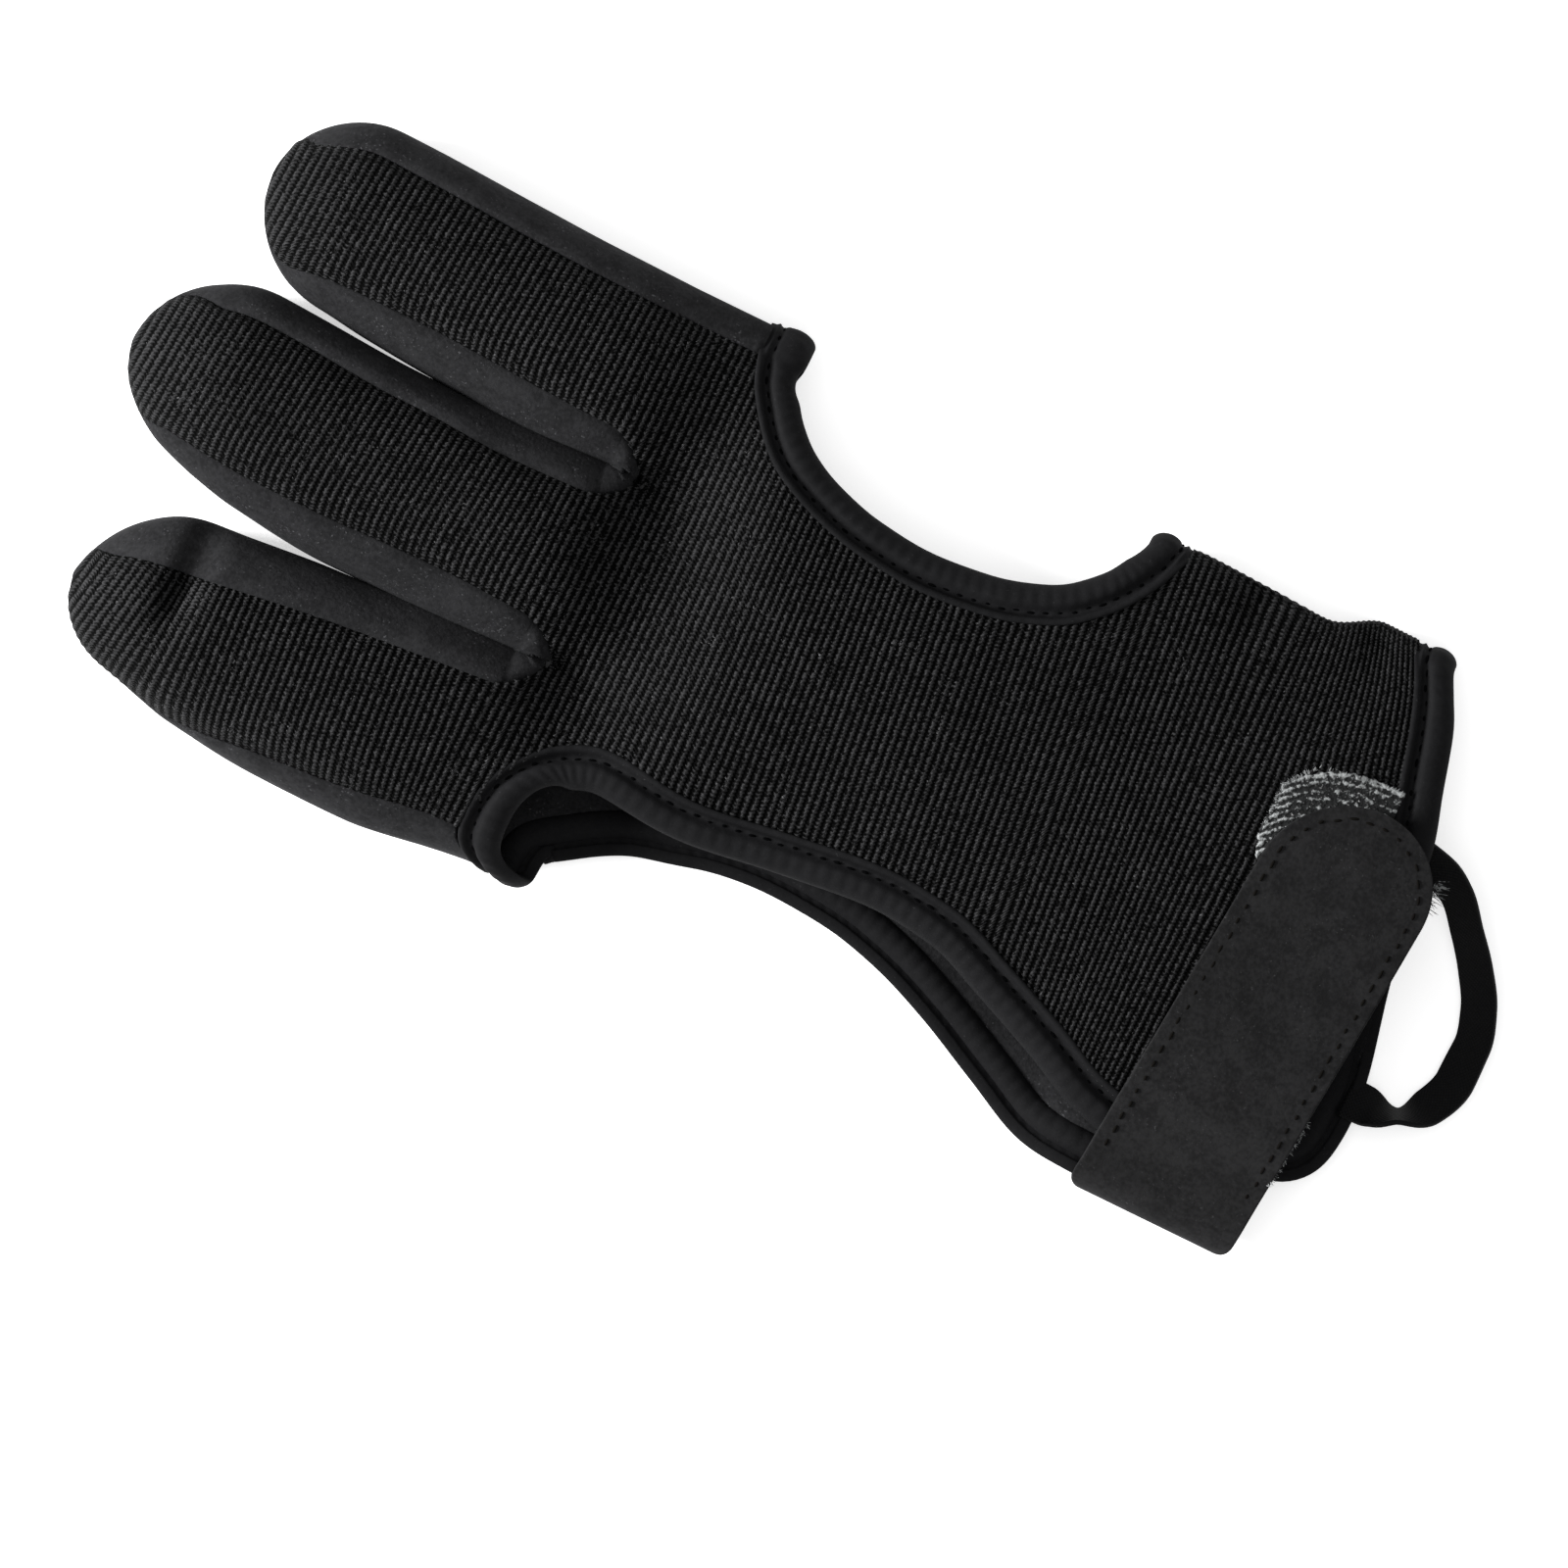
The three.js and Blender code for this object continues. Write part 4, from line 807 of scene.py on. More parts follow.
            loops = wiring.noise(place, *self.LOOPS)
            height = wiring.weighed(loops, first, wiring.sine(u, relief.pitch), second)
            inside = wiring.stepped(wiring.math("MINIMUM", u, v), *self.FRINGE_EDGE)
            fringe = wiring.math("MULTIPLY", wiring.math("SUBTRACT", 1.0, inside), self.FRINGE)
            tone = wiring.stepped(wiring.math("ADD", height, fringe), *relief.tones)
        else:
            height = wiring.weighed(wiring.noise(place, *self.NAP), first, fuzz, second)
            blotch = wiring.math("SUBTRACT", wiring.noise(place, *self.BLOTCHES), 0.5)
            blotched = wiring.math("ADD", height, wiring.math("MULTIPLY", blotch, self.BLOTCH_SHARE))
            tone = wiring.stepped(blotched, *relief.tones)
        wiring.join(tone, end.inputs["Tone"])
        wiring.join(height, end.inputs["Height"])
        return group


class Dresser:
    """Gives each piece its material and its record slot.

    Args:
        effects: the shared node groups.
    """

    WORN_FROM, WORN_RANGE, WORN_PATCHES = 0.75, 0.5, (55.0, 3.0)

    def __init__(self, effects: Effects) -> None:
        """Makes the materials."""
        self.effects = effects
        self.materials = {finish: self.cloth(finish, look) for finish, look in FINISHES.items()}
        self.threads = {finish: self.thread(finish, colour) for finish, colour in THREAD_COLOURS.items()}

    def cloth(self, finish: Finish, look: ClothFinish) -> bpy.types.Material:
        """Args: finish: its name; look: its numbers. Returns: the material."""
        material, shader = principled(finish.value, {
            "Roughness": look.roughness, "Specular IOR Level": SPECULAR, "Sheen Weight": look.sheen,
            "Sheen Roughness": SHEEN_ROUGHNESS, "Sheen Tint": SHEEN_TINT,
        })
        wiring = Wiring(material.node_tree)
        place = wiring.node("ShaderNodeTexCoord").outputs["Object"]
        cloth = wiring.node("ShaderNodeUVMap", uv_map="cloth").outputs["UV"]
        lint = wiring.node("ShaderNodeGroup", node_tree=self.effects.lint)
        wiring.join(place, lint.inputs["Place"])
        lint.inputs["Share"].default_value = look.lint_share
        relief = wiring.node("ShaderNodeGroup", node_tree=self.effects.relief[look.pattern])
        wiring.join(place, relief.inputs["Place"])
        wiring.join(cloth, relief.inputs["Cloth"])
        # Darkens the colour by the relief's tone toward its shade: painted shade in the hollows of the
        # relief, on the knit with a painted highlight on the rib crests; on the nap the tone also holds the
        # cloth's own blotches.
        painted_shade_and_mottle = wiring.node("ShaderNodeMix", data_type="RGBA")
        wiring.join(relief.outputs["Tone"], painted_shade_and_mottle.inputs["Factor"])
        painted_shade_and_mottle.inputs["A"].default_value = (*(look.shade * c for c in look.colour), 1.0)
        painted_shade_and_mottle.inputs["B"].default_value = (*look.colour, 1.0)
        worn = wiring.node("ShaderNodeMix", data_type="RGBA", blend_type="MULTIPLY")
        worn.inputs["Factor"].default_value = 1.0
        wiring.join(painted_shade_and_mottle.outputs["Result"], worn.inputs["A"])
        patches = wiring.math("MULTIPLY", wiring.noise(place, *self.WORN_PATCHES), self.WORN_RANGE)
        tone = wiring.math("ADD", self.WORN_FROM, patches)
        grey = wiring.node("ShaderNodeCombineColor")
        for channel in ("Red", "Green", "Blue"):
            wiring.join(tone, grey.inputs[channel])
        wiring.join(grey.outputs["Color"], worn.inputs["B"])
        flecked = wiring.node("ShaderNodeMix", data_type="RGBA")
        wiring.join(lint.outputs["Mask"], flecked.inputs["Factor"])
        wiring.join(worn.outputs["Result"], flecked.inputs["A"])
        flecked.inputs["B"].default_value = (*look.lint, 1.0)
        wiring.join(flecked.outputs["Result"], shader.inputs["Base Color"])
        bump = wiring.node("ShaderNodeBump")
        bump.inputs["Distance"].default_value = look.relief
        bump.inputs["Strength"].default_value = 1.0
        wiring.join(relief.outputs["Height"], bump.inputs["Height"])
        wiring.join(bump.outputs["Normal"], shader.inputs["Normal"])
        return material

    def thread(self, finish: Finish, colour: tuple[float, float, float]) -> bpy.types.Material:
        """Args: finish: what it sews; colour: linear. Returns: the sewing thread's material."""
        material, _ = principled(f"{finish.value}_thread", {
            "Base Color": (*colour, 1.0), "Roughness": THREAD_ROUGHNESS, "Specular IOR Level": 0.0})
        return material

    def dress(self, piece: Piece, finish: Finish, thread: bool = False) -> None:
        """Args: piece: what is dressed; finish: its slot; thread: true for sewing thread."""
        piece.data.materials.clear()
        piece.data.materials.append(self.threads[finish] if thread else self.materials[finish])
        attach(piece, "root")


def placed(name: str, bm: bmesh.types.BMesh) -> Piece:
    """Args: name: of the piece; bm: its mesh, which is freed. Returns: the piece, put in the scene."""
    mesh = bpy.data.meshes.new(name)
    bm.to_mesh(mesh)
    bm.free()
    piece = bpy.data.objects.new(name, mesh)
    bpy.context.scene.collection.objects.link(piece)
    return piece


@dataclass(frozen=True)
class SheetBuilder:
    """Makes a cloth piece from a bmesh grid laid over an array of places.

    Args:
        name: the piece's name.
        finish: its finish.
        dresser: the materials.
    """

    name: str
    finish: Finish
    dresser: Dresser

    def build(self, places: Array, thickness: float, *, used: Array | None = None, turned: bool = False,
              ring: bool = False, lift: Array | float = 0.0,
              cloth_uv: tuple[Array, Array] | None = None, rounded: int = 0) -> Piece:
        """Lays a grid over the places and gives it its thickness.

        Args:
            places: rows x columns x 3, the outside of the sheet in mm.
            thickness: of the sheet, inward.
            used: rows-1 x columns-1, false where a cell is left out.
            turned: true where the outside faces the other way.
            ring: true where the last row joins the first.
            lift: distance the outside is moved along its normal.
            cloth_uv: two arrays of distances on the cloth, mm.
            rounded: subdivision levels at render.

        Returns:
            The finished object, named and given its material slot.
        """
        rows, columns = places.shape[:2]
        normal = grid_normals(places, ring)
        if turned:
            normal = -normal
        outside = places + normal * np.broadcast_to(lift, (rows, columns))[..., None]
        bm = bmesh.new()
        bmesh.ops.create_grid(bm, x_segments=columns - 1, y_segments=rows - 1, size=1.0)
        bm.verts.ensure_lookup_table()
        flat = outside.reshape(-1, 3) * MM
        order = grid_order(bm, rows, columns)
        for vert, place in zip(order, flat):
            vert.co = Vector(place)
        uv_u, uv_v = cloth_uv if cloth_uv is not None else cloth_distances(outside)
        layer = bm.loops.layers.uv.new("cloth")
        number = {vert: n for n, vert in enumerate(order)}
        flat_u, flat_v = uv_u.reshape(-1) * MM, uv_v.reshape(-1) * MM
        for face in bm.faces:
            for loop in face.loops:
                n = number[loop.vert]
                loop[layer].uv = (flat_u[n], flat_v[n])
        if used is not None:
            unused = [face for face in bm.faces if not used[
                min(number[v] for v in face.verts) // columns, min(number[v] % columns for v in face.verts)]]
            bmesh.ops.delete(bm, geom=unused, context="FACES")
        if ring:
            first = [order[n] for n in range(columns)]
            last = [order[(rows - 1) * columns + n] for n in range(columns)]
            edges = [bm.edges.get(ends) for line in (first, last) for ends in zip(line, line[1:])]
            bmesh.ops.bridge_loops(bm, edges=edges)
        bmesh.ops.recalc_face_normals(bm, faces=bm.faces)
        face_outward(bm, order, normal.reshape(-1, 3))
        for face in bm.faces:
            face.smooth = True
        piece = placed(self.name, bm)
        solid = piece.modifiers.new("cloth_thickness", "SOLIDIFY")
        solid.thickness = thickness * MM
        solid.offset = -1.0
        solid.use_rim = True
        if rounded:
            smooth = piece.modifiers.new("rounding", "SUBSURF")
            smooth.levels = smooth.render_levels = rounded
        self.dresser.dress(piece, self.finish)
        return piece


def grid_order(bm: bmesh.types.BMesh, rows: int, columns: int) -> list[bmesh.types.BMVert]:
    """Args: bm: a fresh grid from -1 to 1; rows, columns: nodes. Returns: its vertices, row by row."""
    order: list[bmesh.types.BMVert | None] = [None] * (rows * columns)
    for vert in bm.verts:
        i = round((vert.co.y + 1) / 2 * (rows - 1))
        j = round((vert.co.x + 1) / 2 * (columns - 1))
        order[i * columns + j] = vert
    return order


def grid_normals(places: Array, ring: bool) -> Array:
    """Args: places: rows x columns x 3; ring: rows close. Returns: unit normals, next column x next row."""
    if ring:
        padded = np.concatenate([places[-1:], places, places[:1]])
        down = np.gradient(padded, axis=0)[1:-1]
    else:
        down = np.gradient(places, axis=0)
    across = np.gradient(places, axis=1)
    normal = np.cross(across, down)
    length = np.linalg.norm(normal, axis=-1, keepdims=True)
    return normal / np.maximum(length, 1e-12)


def face_outward(bm: bmesh.types.BMesh, order: Sequence[bmesh.types.BMVert], normals: Array) -> None:
    """Turns all faces over if most of them look against the normals given at the vertices.

    Args:
        bm: the mesh.
        order: its vertices in the normals' order.
        normals: one a vertex.
    """
    number = {vert: n for n, vert in enumerate(order) if vert.is_valid}
    votes = sum(
        1 if face.normal.dot(Vector(normals[number[face.verts[0]]])) > 0 else -1
        for face in bm.faces if face.verts[0] in number
    )
    if votes < 0:
        bmesh.ops.reverse_faces(bm, faces=bm.faces)


def cloth_distances(places: Array) -> tuple[Array, Array]:
    """Args: places: rows x columns x 3. Returns: distance along the rows and along the columns, mm."""
    down = np.linalg.norm(np.diff(places, axis=0), axis=-1).mean(axis=1)
    across = np.linalg.norm(np.diff(places, axis=1), axis=-1)
    u = np.concatenate([[0], np.cumsum(down)])[:, None] * np.ones(places.shape[1])
    v = np.concatenate([np.zeros((places.shape[0], 1)), np.cumsum(across, axis=1)], axis=1)
    return u, v - v.mean(axis=1, keepdims=True)


@dataclass(frozen=True)
class Assembly:
    """Sub-assembly of the glove.

    Args:
        form: the glove's surfaces.
        dresser: the materials.
    """

    form: GloveForm
    dresser: Dresser

    @property
    def plan(self) -> Frame2D:
        """Returns: the frame."""
        return self.form.plan


class Panels(Assembly):
    """The cloth panels: the ribbed back, the palm, the side strips and the gussets.

    Sizes are in millimetres, places are shares of the glove, and the rest are rows, cells and shares.
    """

    FINGER_ROWS = 318
    TIP_REACH = 6.0
    ROW_STEP = RIB_PITCH / 5
    FINGER_CELLS, GAP_CELLS, WRAP_CELLS = 13, 3, 6
    PALM_FINGER_ROWS, PALM_HAND_ROWS, PALM_CELLS = 70, 110, 9
    STRIP_CELLS = 7
    MOUTH_LEAN, MOUTH_TAPER = 6.5, 2.0
    CROTCH_ROWS = 25
    PLEAT, WEB, WEB_TUCK = 1.0, 0.7, 0.5
    FOLD_RISE, FOLD_AT, FOLD_WIDE, HOLLOW, HOLLOW_WIDE = 1.1, 0.27, 0.12, 2.4, 0.07
    SEAM_TUCK, TUCK_REACH = 0.45, 0.9
    NOTCH_HALF = 0.12
    TIP_START = 0.02
    EVEN_COLUMNS = 0.527
    BOW = 0.7
    EDGE_RIDGE, RIDGE_REACH = 0.3, 1.5
    ROOT_BULGE = 1.2
    WRAP_RIDGE = 0.4
    EVEN_ACROSS = (0.18, 0.3)
    NOTCH_ROUND = 0.7
    BOW_START, BOW_FADE, BOW_END = 0.65, (6.0, 22.0), 0.26
    FAR = 99.0
    WRINKLES = ((0.16, 9.0, 0.8, 13.0), (0.12, 6.5, 1.3, 17.0), (0.07, 3.7, 2.0, 8.0))
    WRINKLE_START = (0.0, 0.08)
    PALM_TIP_ROWS, MOUTH_SHY = 24, 0.3
    STRIP_ROWS, STRIP_START, STRIP_CROWDING = 64, 0.3, 1.4
    STRIP_BULGE, STRIP_EASE, LEAST_SLOPE = 0.35, 14.0, 0.2
    PAST_ROWS, PAST_SHY = 14, 0.2
    ROOT_EASE = (24.0, 8.0)
    LEAN_SHARE = 0.8
    PLEATS = 3

    def finger_xs(self, finger: Finger, count: int, step: float) -> Array:
        """Rows of a finger: evenly spaced from its root, then closer and closer toward its tip.

        Args:
            finger: the finger.
            count: number of rows.
            step: spacing of the even rows.

        Returns:
            Places, from the tip to the root, the root itself left out.
        """
        root = self.form.root_x
        straight = int((root - finger.tip - self.TIP_REACH) / step)
        even = root - step * np.arange(1, straight + 1)[::-1]
        left = count - straight
        span = even[0] - finger.tip - self.TIP_START
        share = (np.arange(left) / left) ** 2
        return np.concatenate([finger.tip + self.TIP_START + span * share, even])

    def finger_top(self, finger: Finger, xs: Array, cells: int) -> Array:
        """Args: finger: the finger; xs: its rows; cells: across it. Returns: rows x nodes x 3 on its back."""
        s = finger.section(xs)
        share = np.linspace(0, 1, cells + 1)[None, :]
        start, end = top_angle(s.thumb_seam)[:, None], top_angle(-s.little_seam)[:, None]
        angle = mix(start, end, share)
        round_u = np.sign(np.cos(angle)) * np.abs(np.cos(angle)) ** (2 / TOP_POWER)
        even_u = mix(s.thumb_seam[:, None], -s.little_seam[:, None], share)
        even = eased(xs, *self.plan.span_x(self.EVEN_ACROSS))[:, None]
        u = mix(round_u, even_u, even)
        y = s.middle[:, None] + s.half[:, None] * u
        x = np.broadcast_to(xs[:, None], y.shape)
        own = s.mid[:, None] + s.rise[:, None] * arch(u, TOP_POWER)
        z = mix(own, self.form.hand_top(x, y), self.form.merging(x)) - self.form.sink(x, y)
        return np.stack([x, y, z], axis=-1)

    def tucked(self, places: Array) -> Array:
        """Sinks the edges of a panel into their seams. Args: places: rows x nodes x 3. Returns: the same."""
        across = places[..., 1]
        nearest = np.minimum(np.abs(across - across[:, :1]), np.abs(across - across[:, -1:]))
        places = places.copy()
        places[..., 2] -= self.SEAM_TUCK * np.exp(-((nearest / self.TUCK_REACH) ** 2))
        return places

    def notch(self, high: float, low: float, end: float, t: Array | float) -> tuple[Array, Array]:
        """Rounded notch between two fingers.

        Args:
            high, low: its sides where it starts.
            end: its middle where it ends.
            t: share of its length.

        Returns:
            Its middle and half width there.
        """
        shape = mix(1 - t, np.sqrt(np.maximum(1 - t * t, 0)), self.NOTCH_ROUND)
        return mix((high + low) / 2, end, t), (high - low) / 2 * shape

    def hand_ys(self, xs: Array, thumb: Array, little: Array, cells: int, gap_cells: int) -> Array:
        """Nodes across the hand, with the crotches' notches kept between the fingers.

        Args:
            xs: rows.
            thumb, little: the panel's edges.
            cells: across a finger.
            gap_cells: across a crotch.

        Returns:
            Rows x nodes.
        """
        plan, form = self.plan, self.form
        root = form.root_x
        t = np.clip((xs - root) / (form.crotch_x - root), 0, 1)
        pairs = ((form.finger_a, form.finger_b), (form.finger_b, form.finger_c))
        anchors = [thumb]
        for (upper, lower), crotch in zip(pairs, form.CROTCH_Y):
            a, b = upper.section(root), lower.section(root)
            high = float(a.middle - a.half * a.little_seam)
            low = float(b.middle + b.half * b.thumb_seam)
            middle, half = self.notch(high, low, plan.at_y(crotch), t)
            half = np.maximum(half, self.NOTCH_HALF)
            anchors += [middle + half, middle - half]
        anchors.append(little)
        counts = [cells, gap_cells, cells, gap_cells, cells]
        total = sum(counts)
        columns = [anchors[0]]
        for n, count in enumerate(counts):
            columns += [mix(anchors[n], anchors[n + 1], k / count) for k in range(1, count + 1)]
        spread = eased(xs, form.crotch_x, plan.at_x(self.EVEN_COLUMNS))
        return np.stack([
            mix(column, mix(thumb, little, j / total), spread) for j, column in enumerate(columns)
        ], axis=1)

    def joined(self, fingers: Sequence[Array], gap_cells: int) -> Array:
        """Joins three finger grids side by side, with unused nodes between them.

        Args:
            fingers: rows x nodes x 3 each.
            gap_cells: cells between two of them.

        Returns:
            One grid.
        """
        parts = [fingers[0]]
        for left, right in zip(fingers, fingers[1:]):
            steps = (np.arange(1, gap_cells) / gap_cells)[None, :, None]
            parts += [mix(left[:, -1:], right[:, :1], steps), right]
        return np.concatenate(parts, axis=1)

    def ribbed_back(self) -> Piece:
        """Returns: the ribbed back, each of its ribs a real ridge of five rows."""
        form = self.form
        rows = [self.finger_xs(finger, self.FINGER_ROWS, self.ROW_STEP) for finger in form.fingers]
        grids = [self.tucked(self.finger_top(finger, xs, self.FINGER_CELLS))
                 for finger, xs in zip(form.fingers, rows)]
        fingers = self.joined(grids, self.GAP_CELLS)
        finger_x = self.joined([
            np.repeat(xs[:, None, None], self.FINGER_CELLS + 1, axis=1) for xs in rows
        ], self.GAP_CELLS)[..., 0]
        root = form.root_x
        xs = root + self.ROW_STEP * np.arange(int((form.hem_x - root) / self.ROW_STEP) + 1)
        y = self.hand_ys(
            xs, form.back_thumb_y(xs), form.back_little_y(xs), self.FINGER_CELLS, self.GAP_CELLS)
        straight = np.broadcast_to(xs[:, None], y.shape)
        x = form.leaned(straight, y, form.back_hem)
        hand = np.stack([x, y, form.top(x, y)], axis=-1)
        wrap = self.wrapped(xs)
        grid = np.concatenate([
            np.concatenate([np.repeat(fingers[:, :1], self.WRAP_CELLS, axis=1), fingers], axis=1),
            np.concatenate([wrap, hand], axis=1),
        ])
        phase_x = np.concatenate([
            np.concatenate([np.repeat(finger_x[:, :1], self.WRAP_CELLS, axis=1), finger_x], axis=1),
            np.repeat(xs[:, None], wrap.shape[1] + y.shape[1], axis=1),
        ])
        phase_x = phase_x - self.fanned(grid, len(fingers))
        turns = (phase_x - root) / RIB_PITCH
        flattened = mix(self.EDGE_RIDGE, 1.0, eased(self.edge_distance(grid), 0.0, self.RIDGE_REACH))
        flattened[:, :self.WRAP_CELLS + 1] = self.WRAP_RIDGE
        ridge = RIB_HEIGHT * flattened * (0.5 + 0.5 * np.cos(2 * np.pi * turns)) + self.wrinkles(grid)
        used = self.back_cells(len(grid), xs)
        beads = self.bead_distances(grid)
        piece = SheetBuilder("ribbed_back", Finish.RIB_KNIT, self.dresser).build(
            grid, CLOTH, used=used, lift=ridge, cloth_uv=(phase_x, beads))
        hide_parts("ribbed_back")
        return piece

    def fanned(self, grid: Array, finger_rows: int) -> Array:
        """How far the ribs lean and bow away from straight lines across the glove.

        Args:
            grid: places of the back's nodes.
            finger_rows: rows that belong to the fingers.

        Returns:
            Distance along the glove, mm.
        """
        form, cells = self.form, self.FINGER_CELLS
        x, y = grid[..., 0], grid[..., 1]
        middle = (form.back_thumb_y(x[:, -1]) + form.back_little_y(x[:, -1]))[:, None] / 2
        lean = form.hand_fan(self.plan.share_x(x)) * (y - middle)
        start = self.WRAP_CELLS
        for finger in form.fingers:
            columns = slice(start, start + cells + 1)
            place = grid[:finger_rows, columns]
            s = finger.section(place[:, :1, 0])
            share = (np.arange(cells + 1) / cells - self.BOW_START) / (1 - self.BOW_START)
            bowed = self.BOW * np.clip(share, 0, 1) ** 2
            along = place[..., 0]
            fade = eased(along - finger.tip, *self.BOW_FADE)
            fade = fade * (1 - eased(along, self.plan.at_x(self.BOW_END), form.root_x))
            own = finger.fan(self.plan.share_x(along)) * (place[..., 1] - s.middle)
            lean[:finger_rows, columns] = own + bowed[None, :] * fade
            start += cells + self.GAP_CELLS
        return lean

    def edge_distance(self, grid: Array) -> Array:
        """Args: grid: places of the back's nodes. Returns: distance of each from its row's nearer end, mm."""
        y = grid[..., 1]
        gap = np.full(y.shape, self.FAR)
        start = self.WRAP_CELLS
        for _ in self.form.fingers:
            end = start + self.FINGER_CELLS
            part = y[:, start:end + 1]
            gap[:, start:end + 1] = np.minimum(np.abs(part - part[:, :1]), np.abs(part - part[:, -1:]))
            start = end + self.GAP_CELLS
        gap[grid[..., 0] > self.form.root_x] = self.FAR
        return gap

    def wrapped(self, xs: Array) -> Array:
        """Args: xs: rows. Returns: rows x nodes x 3 of the back's part wrapped round the thumb side."""
        form = self.form
        start = form.wrap_start(xs)
        share = np.arange(self.WRAP_CELLS) / self.WRAP_CELLS
        angle = mix(form.wrap_under, start[:, None], share[None, :])
        places = form.hand_point(xs[:, None], angle).copy()
        places[..., 0] = form.leaned(places[..., 0], places[..., 1], form.back_hem)
        return places

    def back_cells(self, rows: int, hand_xs: Array) -> Array:
        """Args: rows: of the grid; hand_xs: the hand's rows. Returns: which cells of the back exist."""
        wrap, cells, gap = self.WRAP_CELLS, self.FINGER_CELLS, self.GAP_CELLS
        columns = wrap + 3 * cells + 2 * gap
        used = np.ones((rows - 1, columns), bool)
        fingers = rows - len(hand_xs)
        notch = fingers + int(np.searchsorted(hand_xs, self.form.crotch_x))
        for start in (wrap + cells, wrap + 2 * cells + gap):
            used[:notch, start:start + gap] = False
        opened = fingers + int(np.searchsorted(hand_xs, self.plan.at_x(self.form.THUMB_END)))
        used[:opened, :wrap] = False
        return used

    def wrinkles(self, grid: Array) -> Array:
        """Small soft waves of the worn cloth. Args: grid: places. Returns: heights."""
        x, y = grid[..., 0], grid[..., 1]
        ways = ((x, y), (y, x), (x + y, y))
        waves = sum(
            height * np.sin(along / length + sway * np.sin(across / swing))
            for (height, length, sway, swing), (along, across) in zip(self.WRINKLES, ways)
        )
        return waves * eased(x, *self.plan.span_x(self.WRINKLE_START))

    def bead_distances(self, grid: Array) -> Array:
        """Args: grid: places. Returns: distance along each rib, mm."""
        steps = np.linalg.norm(np.diff(grid, axis=1), axis=-1)
        along = np.concatenate([np.zeros((len(grid), 1)), np.cumsum(steps, axis=1)], axis=1)
        return along - along[:, along.shape[1] // 2, None]

    def palm_panel(self) -> Piece:
        """Returns: the palm and the fingers' undersides."""
        form = self.form
        grids = []
        for finger in form.fingers:
            straight = self.PALM_FINGER_ROWS - self.PALM_TIP_ROWS
            step = (form.root_x - finger.tip - self.TIP_REACH) / straight
            xs = self.finger_xs(finger, self.PALM_FINGER_ROWS, step)
            _, start = finger.seam_angles(xs, Side.THUMB)
            _, end = finger.seam_angles(xs, Side.LITTLE)
            share = np.linspace(0, 1, self.PALM_CELLS + 1)
            angle = mix(start[:, None], (end - 2 * np.pi)[:, None], share[None, :])
            places = finger.point(xs[:, None], angle).copy()
            under = form.hand_under(places[..., 0], places[..., 1])
            places[..., 2] = mix(places[..., 2], under, form.merging(places[..., 0]))
            grids.append(places)
        fingers = self.joined(grids, self.GAP_CELLS)
        xs = np.linspace(form.root_x, form.hem_x, self.PALM_HAND_ROWS)
        little = form.palm_little_y(xs) + self.MOUTH_SHY
        y = self.hand_ys(xs, form.palm_thumb_y(xs), little, self.PALM_CELLS, self.GAP_CELLS)
        x = form.leaned(np.broadcast_to(xs[:, None], y.shape), y, form.palm_hem)
        hand = np.stack([x, y, form.under(x, y)], axis=-1)
        grid = np.concatenate([fingers, hand])
        used = np.ones((len(grid) - 1, grid.shape[1] - 1), bool)
        notch = len(fingers) + int(np.searchsorted(xs, form.crotch_x))
        for start in (self.PALM_CELLS, 2 * self.PALM_CELLS + self.GAP_CELLS):
            used[:notch, start:start + self.GAP_CELLS] = False
        piece = SheetBuilder("palm_panel", Finish.FLANNEL, self.dresser).build(
            grid, CLOTH, used=used, turned=True)
        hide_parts("palm_panel")
        return piece

    def strip_rows(self, finger: Finger, side: Side, xs: Array) -> Array:
        """Args: finger: the finger; side: of it; xs: rows. Returns: rows x nodes x 3 of its side strip."""
        top, under = finger.seam_angles(xs, side)
        share = np.linspace(0, 1, self.STRIP_CELLS + 1)[None, :]
        angle = mix(top[:, None], under[:, None], share)
        places = finger.point(xs[:, None], angle).copy()
        form, merging = self.form, self.form.merging(xs)
        seam_y, seam_z = places[:, 0, 1], places[:, 0, 2]
        merged = mix(seam_z, form.hand_top(xs, seam_y), merging) - form.sink(xs, seam_y)
        lift = np.clip(np.sin(angle) / np.maximum(np.sin(top), self.LEAST_SLOPE)[:, None], 0, 1)
        places[..., 2] += (merged - seam_z)[:, None] * lift
        low_y, low_z = places[:, -1, 1], places[:, -1, 2]
        palm_z = mix(low_z, form.hand_under(xs, low_y), merging)
        drop = np.clip(np.sin(angle) / np.minimum(np.sin(under), -self.LEAST_SLOPE)[:, None], 0, 1)
        places[..., 2] += (palm_z - low_z)[:, None] * drop
        bulge = np.sin(np.pi * share) * self.STRIP_BULGE
        away = np.sign(places[..., 1] - finger.section(xs).middle[:, None])
        places[..., 1] += bulge * away * eased(xs, finger.tip, finger.tip + self.STRIP_EASE)[:, None]
        return places

    def strip_xs(self, finger: Finger) -> Array:
        """Args: finger: the finger. Returns: rows of its side strips."""
        start = finger.tip + self.STRIP_START
        return mix(start, self.form.root_x, np.linspace(0, 1, self.STRIP_ROWS) ** self.STRIP_CROWDING)

